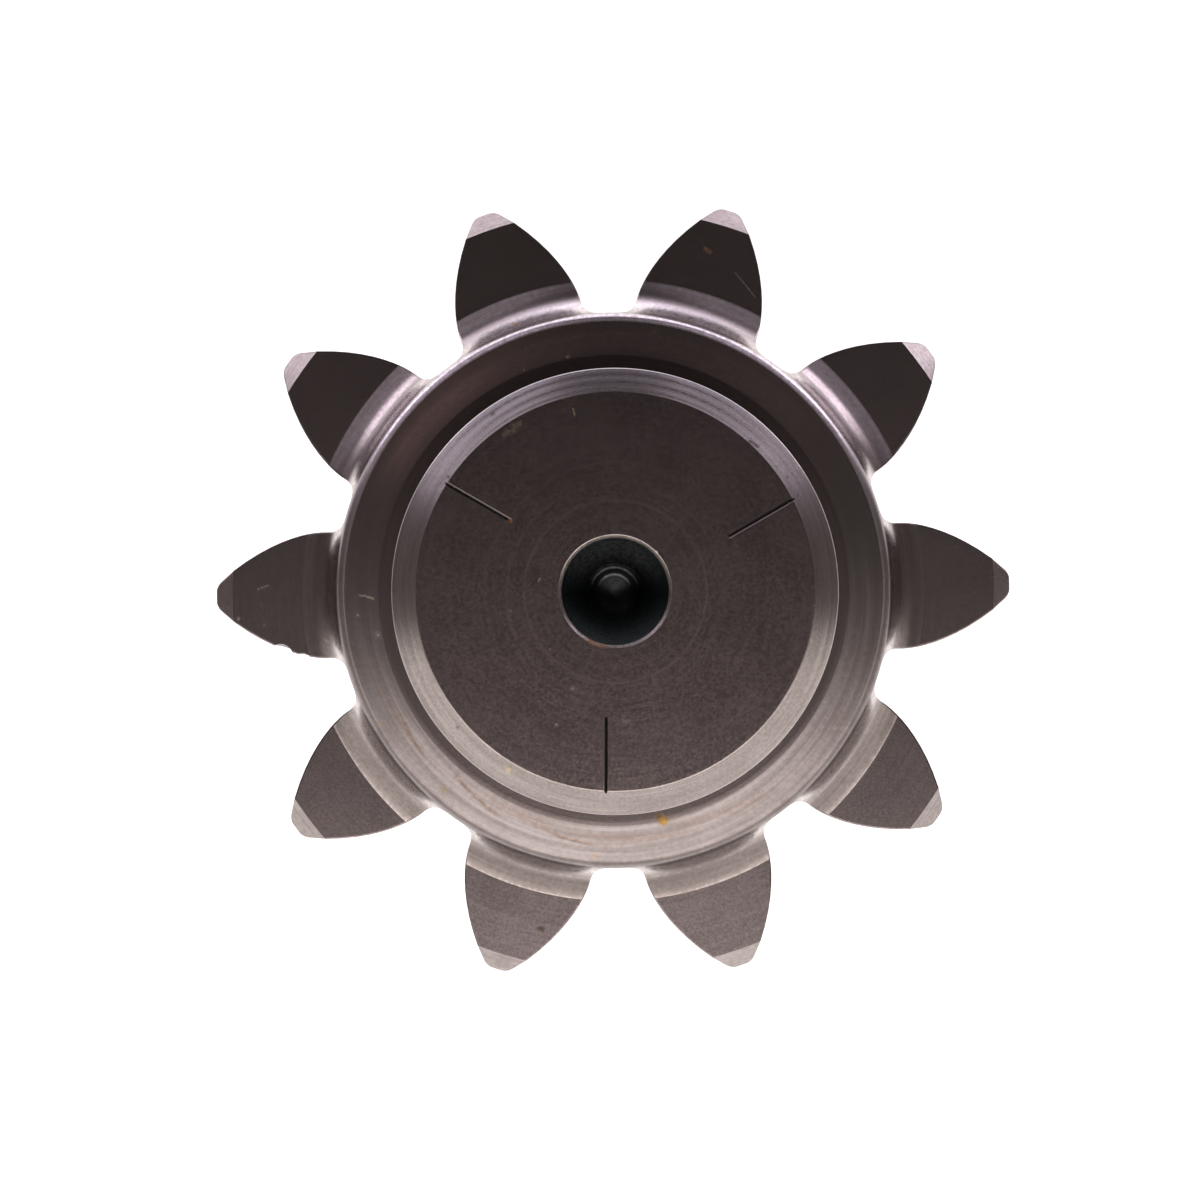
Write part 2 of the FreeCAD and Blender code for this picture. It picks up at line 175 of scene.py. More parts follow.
@dataclass(frozen=True)
class ToothForm:
    """The cross section of a row of involute teeth.

    A tooth is centred on +X. From the root circle up, each side is a fillet, the involute and a tip round,
    drawn in the three given numbers of steps.
    """

    module: float
    count: int
    pressure_angle: float
    shift: float
    addendum: float
    dedendum: float
    fillet: float
    tip_round: float
    steps: tuple[int, int, int]
    edge_margin: float
    # How far the tip's round would rise past the tip circle.
    tip_crossing: float = 0.05
    # A mark takes the place of a radius this near.
    mark_gap: float = 0.12

    @property
    def base_radius(self) -> float:
        """The radius of the circle that the flanks unroll from."""
        return self.module * self.count / 2 * math.cos(math.radians(self.pressure_angle))

    @property
    def tip_radius(self) -> float:
        """The radius of the tooth tips."""
        return self.module * (self.count / 2 + self.shift + self.addendum)

    @property
    def root_radius(self) -> float:
        """The radius of the bottoms of the tooth spaces."""
        return self.module * (self.count / 2 + self.shift - self.dedendum)

    @property
    def pitch(self) -> float:
        """The angle from tooth to tooth, in radians."""
        return math.tau / self.count

    @property
    def fillet_roll(self) -> float:
        """How far the involute has unrolled where the fillet gives way to it, in radians."""
        reach = math.sqrt((self.root_radius + self.fillet) ** 2 - self.base_radius ** 2)
        return (reach - self.fillet) / self.base_radius

    @property
    def tip_roll(self) -> float:
        """How far the involute has unrolled where it gives way to the tip's round, in radians."""
        far = self.tip_radius + self.tip_crossing - self.tip_round
        return (math.sqrt(far ** 2 - self.base_radius ** 2) + self.tip_round) / self.base_radius

    def roll_at(self, radius: float) -> float:
        """How far the involute has unrolled at a radius, in radians."""
        return math.sqrt(max((radius / self.base_radius) ** 2 - 1, 0.0))

    def radius_at(self, roll: float) -> float:
        """The radius at which the involute has unrolled by an angle in radians."""
        return self.base_radius * math.hypot(1.0, roll)

    def flank_point(self, roll: float, outwards: float) -> Vector:
        """A point beside the upper flank.

        Args:
            roll: How far the involute has unrolled there, in radians.
            outwards: How far the point lies out of the tooth, square to the flank.

        Returns:
            The point, with z at zero.
        """
        pressure = math.radians(self.pressure_angle)
        thickness = math.pi / 2 + 2 * self.shift * math.tan(pressure)
        turn = thickness / self.count + math.tan(pressure) - pressure - roll
        touch = Vector((math.cos(turn), math.sin(turn), 0.0)) * self.base_radius
        way_out = Vector((-math.sin(turn), math.cos(turn), 0.0))
        return touch + way_out * (self.base_radius * roll + outwards)

    def half_angle(self, radius: float) -> float:
        """Half of the tooth's thickness at a radius.

        Args:
            radius: A radius between the root circle and the tip circle.

        Returns:
            The angle from the tooth's middle to its upper side, in radians.
        """
        if radius < self.radius_at(self.fillet_roll):
            centre, size, side = self.flank_point(self.fillet_roll, self.fillet), self.fillet, -1
        elif self.tip_round and radius > self.radius_at(self.tip_roll):
            centre, size, side = self.flank_point(self.tip_roll, -self.tip_round), self.tip_round, 1
        else:
            point = self.flank_point(self.roll_at(radius), 0.0)
            return math.atan2(point.y, point.x)
        far = centre.length
        share = (radius ** 2 + far ** 2 - size ** 2) / (2 * radius * far)
        return math.atan2(centre.y, centre.x) + side * math.acos(min(share, 1.0))

    def radii(self, marks: Sequence[float]) -> list[float]:
        """The radii at which the tooth's outline is drawn.

        Args:
            marks: Radii that must be among them. Each takes the place of any other near it.

        Returns:
            The radii from the root circle to the tip circle.
        """
        fillet_steps, flank_steps, tip_steps = self.steps
        low, high = self.fillet_roll, self.tip_roll if self.tip_round else self.roll_at(self.tip_radius)
        found = arc_radii(self.root_radius + self.fillet, self.fillet, self.root_radius, self.radius_at(low),
                          fillet_steps)
        found += [self.radius_at(low + (high - low) * step / flank_steps) for step in range(1, flank_steps)]
        if self.tip_round:
            far = self.flank_point(high, -self.tip_round).length
            found += arc_radii(far, self.tip_round, self.radius_at(high), self.tip_radius, tip_steps)
        else:
            found.append(self.radius_at(high))
        kept = [radius for radius in found if all(abs(radius - mark) > self.mark_gap for mark in marks)]
        return sorted(kept + list(marks))


def arc_radii(far: float, size: float, start: float, stop: float, steps: int) -> list[float]:
    """The distances from the axis along a round, at equal steps.

    Args:
        far: How far the round's centre is from the axis.
        size: The round's radius.
        start: The distance at which it starts.
        stop: The distance at which it stops.
        steps: The steps along it.

    Returns:
        The distances, with both ends.
    """
    first, last = (math.acos(max(-1.0, min((end ** 2 - far ** 2 - size ** 2) / (2 * far * size), 1.0)))
                   for end in (start, stop))
    turns = [first + (last - first) * step / steps for step in range(steps + 1)]
    return [math.sqrt(far ** 2 + size ** 2 + 2 * far * size * math.cos(turn)) for turn in turns]


@dataclass(frozen=True)
class Corner:
    """A corner of the turned outline: how far out it lies, how high, and the radius that breaks it."""

    out: float
    up: float
    broken: float = 0.0


@dataclass(frozen=True)
class TurnedWall:
    """A surface of revolution, given by its outline, whose corners are broken by rounds."""

    corners: Sequence[Corner]
    fewest_steps: int = 3
    steps_per_mm: int = 6

    def add_to(self, mesh: Mesh) -> None:
        """Adds the wall to a mesh.

        Args:
            mesh: The mesh that takes the wall.
        """
        wall = bmesh.new()
        points = add_line(wall, [(corner.out, 0.0, corner.up) for corner in self.corners])
        by_radius: dict[float, list[Point]] = {}
        for corner, point in zip(self.corners, points):
            if corner.broken:
                by_radius.setdefault(corner.broken, []).append(point)
        for broken, sharp in by_radius.items():
            steps = max(self.fewest_steps, round(broken * self.steps_per_mm))
            bmesh.ops.bevel(wall, geom=sharp, offset=broken, offset_type="OFFSET", segments=steps,
                            profile=0.5, affect="VERTICES", material=-1, clamp_overlap=True)
        spin_mesh(wall, math.tau, RING_STEPS, merge=True)
        bmesh.ops.remove_doubles(wall, verts=wall.verts[:], dist=MERGE_WITHIN)
        add_mesh(mesh, wall)


@dataclass(frozen=True)
class ToothedBand:
    """The toothed part of the shaft between two end surfaces, each given as a height for a radius."""

    form: ToothForm
    low_end: Height
    high_end: Height
    radii: Sequence[float]

    @property
    def steps(self) -> int:
        """The ring's steps for one tooth and one space."""
        return RING_STEPS // self.form.count

    @property
    def half_columns(self) -> int:
        """The steps across half of a tooth at its root."""
        return round(self.form.half_angle(self.form.root_radius) / self.form.pitch * self.steps)

    def column_angle(self, column: int, radius: float) -> float:
        """The angle of one column of the tooth's end face.

        Args:
            column: Its number, counted from the middle of the tooth.
            radius: The radius at which the angle is wanted.

        Returns:
            The angle in radians. The outer columns keep their distance from the flank.
        """
        half, edge = self.half_columns, self.form.half_angle(radius)
        if abs(column) == half:
            return math.copysign(edge, column)
        return (edge - self.form.edge_margin / radius) * column / (half - 1)

    def on_end(self, point: Point, height: Height) -> bool:
        """Whether a point lies on an end surface between the root circle and the tip circle.

        Args:
            point: The point.
            height: The end surface.

        Returns:
            True if it does.
        """
        out = out_of(point.co)
        return self.form.root_radius - NEAR < out < self.form.tip_radius + NEAR and \
            abs(point.co.z - height(out)) < NEAR

    def fit_ring(self, mesh: Mesh, height: Height) -> None:
        """Turns the points of a root ring to where the teeth and the spaces divide it.

        Args:
            mesh: The mesh that holds the ring.
            height: The end surface that the ring belongs to.
        """
        root, half, pitch = self.form.root_radius, self.half_columns, self.form.pitch
        edge = self.form.half_angle(root)
        ring = [point for point in mesh.verts
                if abs(out_of(point.co) - root) <= NEAR and abs(point.co.z - height(root)) <= NEAR]
        for point in ring:
            number = round(math.atan2(point.co.y, point.co.x) / math.tau * RING_STEPS)
            tooth = round(number / self.steps)
            column = number - tooth * self.steps
            if abs(column) <= half:
                angle = self.column_angle(column, root)
            else:
                share = (abs(column) - half) / (self.steps - 2 * half)
                angle = math.copysign(edge + (pitch - 2 * edge) * share, column)
            move_round(point, angle + tooth * pitch, root)

    def add_end(self, mesh: Mesh, height: Height) -> None:
        """Adds the end faces of all the teeth on one side.

        Args:
            mesh: The mesh that takes them.
            height: The end surface that they lie on.
        """
        end = bmesh.new()
        half, step_angle = self.half_columns, math.tau / RING_STEPS
        add_line(end, [(radius, 0.0, height(radius)) for radius in self.radii])
        turn_mesh(end, -half * step_angle)
        spin_mesh(end, 2 * half * step_angle, 2 * half)
        for point in end.verts:
            radius = out_of(point.co)
            column = round(math.atan2(point.co.y, point.co.x) / step_angle)
            move_round(point, self.column_angle(column, radius), radius)
        spin_mesh(end, self.form.pitch * (self.form.count - 1), self.form.count - 1, copy=True)
        add_mesh(mesh, end)

    def add_walls(self, mesh: Mesh) -> None:
        """Joins the outlines of the two ends by the flanks, the roots and the tips.

        Args:
            mesh: The mesh that holds both ends, merged with their rings.
        """
        outline = [edge for edge in mesh.edges if len(edge.link_faces) == 1 and
                   all(self.on_end(point, self.high_end) for point in edge.verts)]
        for point in points_in(bmesh.ops.extrude_edge_only(mesh, edges=outline)):
            out = min(max(out_of(point.co), self.form.root_radius), self.form.tip_radius)
            point.co.z = self.low_end(out)

    def outlines(self, mesh: Mesh) -> list[bmesh.types.BMEdge]:
        """The edges between the two ends and the walls.

        Args:
            mesh: The finished mesh.

        Returns:
            Both closed runs of edges round all the teeth.
        """
        return [edge for height in (self.high_end, self.low_end) for edge in mesh.edges
                if all(self.on_end(point, height) for point in edge.verts) and
                sum(abs(face.normal.z) < UPRIGHT for face in edge.link_faces) == 1]


@dataclass(frozen=True)
class CentreHole:
    """A centre hole: a broken rim, the 60 degree cone, the pilot bore and the drill's point."""

    mouth: float = 6.6
    rim: float = 0.35
    pilot: float = 3.15
    depth: float = 11.5
    cone_angle: float = 60.0
    point_angle: float = 120.0
    pilot_round: float = 0.12
    rim_round: float = 0.1

    def corners(self, end: float, inward: float) -> list[Corner]:
        """The hole's outline from the drill's point to the rim.

        Args:
            end: The height of the end face.
            inward: 1 where the hole goes up, -1 where it goes down.

        Returns:
            The corners, the one on the end face last.
        """
        cone = (self.mouth - self.pilot) / math.tan(math.radians(self.cone_angle / 2))
        point = self.pilot / math.tan(math.radians(self.point_angle / 2))
        return [
            Corner(0.0, end + inward * (self.rim + self.depth + point)),
            Corner(self.pilot, end + inward * (self.rim + self.depth)),
            Corner(self.pilot, end + inward * (self.rim + cone), self.pilot_round),
            Corner(self.mouth, end + inward * self.rim, self.rim_round),
            Corner(self.mouth + self.rim, end, self.rim_round),
        ]


@dataclass(frozen=True)
class DriverBites:
    """The three V grooves that the face driver's edges pressed into the nose end.

    The wall that the driver pushed on is steep and the other one slopes. The first bite points down the
    photograph, and all follow the driver's turn.
    """

    count: int = 3
    start: float = 15.1
    length: float = 11.0
    offset: float = 1.15
    half_width: float = 0.23
    steep_width: float = 0.20
    depth: float = 0.21
    run_out: float = 0.42
    first: float = -90.95
    # A wall that looks back against the turn by more than this is the steep one, coloured as painted shade.
    shaded: float = 0.2

    def cutter(self, height: float) -> Mesh:
        """The wedges that cut the bites.

        Args:
            height: The height of the end face.

        Returns:
            One mesh with a closed wedge for each bite.
        """
        wedge = bmesh.new()
        over = 2.0
        bottom = self.half_width - self.steep_width - self.offset
        slope_top = bottom - (2 * self.half_width - self.steep_width) * (1 + over)
        steep_top = bottom + self.steep_width * (1 + over)
        points = [wedge.verts.new((self.start, across, height + up)) for across, up in (
            (slope_top, self.depth * over), (steep_top, self.depth * over), (bottom, -self.depth))]
        made = bmesh.ops.extrude_face_region(wedge, geom=[wedge.faces.new(points)])
        bmesh.ops.translate(wedge, verts=points_in(made), vec=(self.length, 0.0, 0.0))
        # The driver's edge starts inside the metal, so the inner end of the groove runs out in a slope.
        points[2].co.x += self.run_out
        turn_mesh(wedge, math.radians(self.first))
        spin_mesh(wedge, math.tau * (self.count - 1) / self.count, self.count - 1, copy=True)
        bmesh.ops.recalc_face_normals(wedge, faces=wedge.faces[:])
        return wedge


@dataclass(frozen=True)
class EdgeNick:
    """A dent that a knock left in the front edge of the lower flank of the tooth on -X.

    Its place, radius and depth are those of the notch in the edge, and run is how far it goes down the flank.
    """

    out: float
    radius: float
    depth: float
    run: float

    def middle(self, form: ToothForm, height: float) -> Vector:
        """The middle of the cutter, for the teeth and the height of their front."""
        place = form.flank_point(form.roll_at(self.out), self.radius - self.depth)
        return Vector((-place.x, -place.y, height))

    def holds(self, middle: Vector, place: Vector) -> bool:
        """Whether a point is on the cutter or in it.

        Args:
            middle: The cutter's middle.
            place: The point.

        Returns:
            True if it is.
        """
        away = place - middle
        away.z *= self.radius / self.run
        return away.length < self.radius + CLOSE

    def cutter(self, middle: Vector) -> Mesh:
        """The long ball that presses the dent.

        Args:
            middle: The cutter's middle.

        Returns:
            The ball.
        """
        ball = bmesh.new()
        bmesh.ops.create_icosphere(ball, subdivisions=4, radius=self.radius)
        bmesh.ops.scale(ball, verts=ball.verts[:], vec=(1.0, 1.0, self.run / self.radius))
        bmesh.ops.translate(ball, verts=ball.verts[:], vec=middle)
        return ball


class Zone(Enum):
    """The surfaces of the shaft, each with its own finish."""

    NOSE_FACE = "nose_face"
    CHAMFER = "nose_chamfer"
    JOURNAL = "ground_journal"
    SHOULDER = "shoulder_ring"
    BOSS = "boss_edge"
    COVE = "turned_cove"
    TOOTH_FACE = "tooth_face"
    TIP_BEVEL = "tip_bevel"
    FLANK = "hobbed_flank"
    ABUTMENT = "ground_abutment"
    RIM = "hole_rim"
    CENTRE = "centre_cone"
    DRILLED = "drilled_pilot"
    BITE = "driver_bite"
    # The steep side of the bites, coloured near black as painted shade.
    BITE_PAINTED_SHADE = "driver_bite_steep_side"
    DENT = "fresh_dent"
    TURNED = "turned_shaft"
    SPLINE = "cut_spline"


@dataclass(frozen=True)
class Stain:
    """A small spot or smear on the steel, such as rust, dried oil or a scratch.

    It lies at a place, or along the line from there to an end, in millimetres on the shaft.
    """

    place: Place
    size: float
    colour: str
    strength: float = 1.0
    end: Place | None = None
    ragged: float = 0.5
    rough: float = 0.38


@dataclass(frozen=True)
class Streak:
    """A streak that follows the turning round the axis between two angles, and may drift outwards. Dried oil
    is one, and so are the painted highlight and painted shade arcs of some surfaces.
    """

    out: float
    width: float
    start: float
    stop: float
    colour: str
    strength: float = 1.0
    drift: float = 0.0
    rough: float = 0.34


@dataclass(frozen=True)
class SteelFinish:
    """How one surface of the steel was made and what that does to the light on it.

    The two colours are the clean steel's and the steel's under its oil film. Grain is the size of the
    mottling, marks the pitch of the tool's rings and cloud the size of the film's patches, all in
    millimetres, as are the two depths. Across means that the marks run across the axis and not round it.
    """

    colour: str
    shade: str
    roughness: float
    rough_spread: float
    grain: float
    grain_depth: float
    marks: float
    mark_depth: float
    mark_tint: float
    speck: float = 0.35
    cloud: float = 5.0
    cloud_tint: float = 0.35
    across: bool = False
    stains: tuple[Stain, ...] = ()
    streaks: tuple[Streak, ...] = ()


class NodeSheet:
    """A material's node tree with one way to add a node."""

    def __init__(self, name: str) -> None:
        """Starts an empty material.

        Args:
            name: The material's name.
        """
        self.material = bpy.data.materials.new(name)
        self.material.use_nodes = True
        self.tree = self.material.node_tree
        self.tree.nodes.clear()

    def add(self, kind: str, *values: object, **named: object) -> bpy.types.Node:
        """Adds a node with its settings and links.

        Args:
            kind: The node's type, without the ShaderNode that it starts with.
            *values: Its inputs in order, as values, sockets, or nodes that give their first output.
            **named: Settings in lower case, and inputs by name with _ for a space or by number as in_0.

        Returns:
            The node.
        """
        node = self.tree.nodes.new("ShaderNode" + kind)
        inputs = dict(enumerate(values))
        for key, value in named.items():
            if key.startswith("in_"):
                inputs[int(key[3:])] = value
            elif key[0].isupper():
                inputs[key.replace("_", " ")] = value
            else:
                setattr(node, key, value)
        for place, value in inputs.items():
            if isinstance(value, bpy.types.Node):
                value = value.outputs[0]
            if isinstance(value, Socket):
                self.tree.links.new(value, node.inputs[place])
            else:
                node.inputs[place].default_value = value
        return node


class SteelDresser(NodeSheet):
    """Turns a finish into a material whose patterns follow the shaft's own coordinates."""

    # How far the marks drift, in metres for each radian about the axis.
    drift_across = 0.002
    drift_round = 0.0006
    # A stain's fray, and where the stain ends and is full, in shares of its size.
    fray_scale = 1.1
    stain_edge = (1.35, 0.1)
    # Where a streak fades out across its width, and where it is full along its length.
    streak_edge = 0.75
    streak_full = 0.3
    # The grain that breaks a streak, and what is left of it where it is broken.
    breaking = (0.35, 0.6)
    broken_share = 0.4

    def __init__(self, zone: Zone, finish: SteelFinish) -> None:
        """Starts the material of one surface.

        Args:
            zone: The surface.
            finish: Its finish.
        """
        super().__init__("steel_" + zone.value)
        self.finish = finish

    def build(self) -> bpy.types.Material:
        """Makes the material.

        Returns:
            The material with its nodes linked.
        """
        add, finish = self.add, self.finish
        where = add("TexCoord").outputs["Object"]
        parts = add("SeparateXYZ", where).outputs
        flat = add("CombineXYZ", parts["X"], parts["Y"])
        out = add("VectorMath", flat, operation="LENGTH").outputs["Value"]
        angle = add("Math", parts["Y"], parts["X"], operation="ARCTAN2")
        # Tool marks run round the axis, so they depend on the radius and the height and barely on the angle.
        drift = add("Math", angle, self.drift_across if finish.across else self.drift_round,
                    operation="MULTIPLY")
        lane = (parts["Z"], drift) if finish.across else (out, drift, parts["Z"])
        marks, grain, cloud = (
            add("TexNoise", Vector=vector, Scale=1 / (pitch * MM), Detail=detail, Roughness=fading)
            for vector, pitch, detail, fading in (
                (add("CombineXYZ", *lane), finish.marks, 3.0, 0.65), (where, finish.grain, 4.0, 0.6),
                (where, finish.cloud, 3.0, 0.55)))
        film, tint, speck = (
            add("MapRange", noise, *NOISE_RANGE, middle - spread, middle + spread)
            for noise, middle, spread in (
                (cloud, 0.5, finish.cloud_tint), (marks, 0.0, finish.mark_tint), (grain, 0.0, finish.speck)))
        share = add("Math", film, tint, operation="ADD")
        share = add("Math", share, speck, operation="ADD", use_clamp=True)
        colour = add("Mix", data_type="RGBA", Factor=share, in_6=linear(finish.colour),
                     in_7=linear(finish.shade)).outputs[2]
        dull = add("MapRange", share, 0.0, 1.0, finish.roughness - finish.rough_spread,
                   finish.roughness + finish.rough_spread)
        spots = [(streak, self.streak_mask(out, angle, grain, streak)) for streak in finish.streaks]
        spots += [(stain, self.stain_mask(where, stain)) for stain in finish.stains]
        for spot, mask in spots:
            colour = add("Mix", data_type="RGBA", Factor=mask, in_6=colour,
                         in_7=linear(spot.colour)).outputs[2]
            dull = add("Mix", mask, data_type="FLOAT", in_2=dull, in_3=spot.rough)
        height = add("Math", marks, finish.mark_depth, operation="MULTIPLY")
        rub = add("Math", grain, finish.grain_depth, height, operation="MULTIPLY_ADD")
        bump = add("Bump", Strength=1.0, Distance=MM, Height=rub)
        shader = add("BsdfPrincipled", Base_Color=colour, Roughness=dull, Normal=bump, Metallic=1.0)
        add("OutputMaterial", shader)
        return self.material

    def stain_mask(self, where: Socket, stain: Stain) -> bpy.types.Node:
        """Where a stain lies, with a soft ragged edge.

        Args:
            where: The shaft's coordinates.
            stain: The stain.

        Returns:
            A share from 0 to the stain's strength.
        """
        add, size, place = self.add, stain.size * MM, Vector(stain.place) * MM
        away = add("VectorMath", where, place, operation="SUBTRACT")
        if stain.end:
            run = Vector(stain.end) * MM - place
            share = add("VectorMath", away, run / run.length_squared, operation="DOT_PRODUCT")
            share = add("Clamp", share.outputs["Value"])
            along = add("VectorMath", run, operation="SCALE", Scale=share)
            away = add("VectorMath", away, along, operation="SUBTRACT")
        away = add("VectorMath", away, operation="LENGTH").outputs["Value"]
        fine = add("TexNoise", Vector=where, Scale=self.fray_scale / size, Detail=2.0, Roughness=0.6)
        fray = add("MapRange", fine, *NOISE_RANGE, -stain.ragged * size, stain.ragged * size)
        edge = add("Math", away, fray, operation="ADD")
        last, full = self.stain_edge
        return add("MapRange", edge, size * last, size * full, 0.0, stain.strength,
                   interpolation_type="SMOOTHSTEP")

    def streak_mask(self, out: Socket, angle: bpy.types.Node, grain: bpy.types.Node,
                    streak: Streak) -> bpy.types.Node:
        """Where a streak runs, broken by the grain.

        Args:
            out: The distance from the axis.
            angle: The angle about the axis in radians.
            grain: A fine noise that breaks the streak.
            streak: The streak.

        Returns:
            A share from 0 to the streak's strength.
        """
        add, middle = self.add, math.radians((streak.start + streak.stop) / 2)
        reach = math.radians((streak.stop - streak.start) / 2)
        turn = add("Math", angle, middle, operation="SUBTRACT")
        lane = add("Math", turn, streak.drift * MM / (2 * reach), streak.out * MM, operation="MULTIPLY_ADD")
        off = add("Math", add("Math", out, lane, operation="SUBTRACT"), operation="ABSOLUTE")
        mask = add("MapRange", off, streak.width * MM * self.streak_edge, 0.0, 0.0, 1.0,
                   interpolation_type="SMOOTHSTEP")
        if reach < math.pi:
            turn = add("Math", turn, operation="ABSOLUTE")
            span = add("MapRange", turn, reach, reach * self.streak_full, 0.0, 1.0,
                       interpolation_type="SMOOTHSTEP")
            mask = add("Math", mask, span, operation="MULTIPLY")
        broken = add("MapRange", grain, *self.breaking, self.broken_share * streak.strength, streak.strength)
        return add("Math", mask, broken, operation="MULTIPLY")


# Dried oil.
BROWN = "#8a7466"
# Heights of the nose end, the shoulder ring and the front of the teeth.
END, RING, FRONT = 230.0, 205.0, 197.5
RUST_SPOT = (
    Stain((-12.75, 8.95, END), 0.32, "#9a5c38", 0.9),
    Stain((-12.6, 8.85, END), 0.14, "#b98556", 0.8),
)
GOLD_BLOB = (
    Stain((5.8, -29.6, RING), 0.80, "#94743e", 0.9),
    Stain((5.25, -29.1, RING), 0.45, "#66523a", 0.9),
    Stain((6.0, -29.9, RING), 0.30, "#b08c48", 0.9),
)
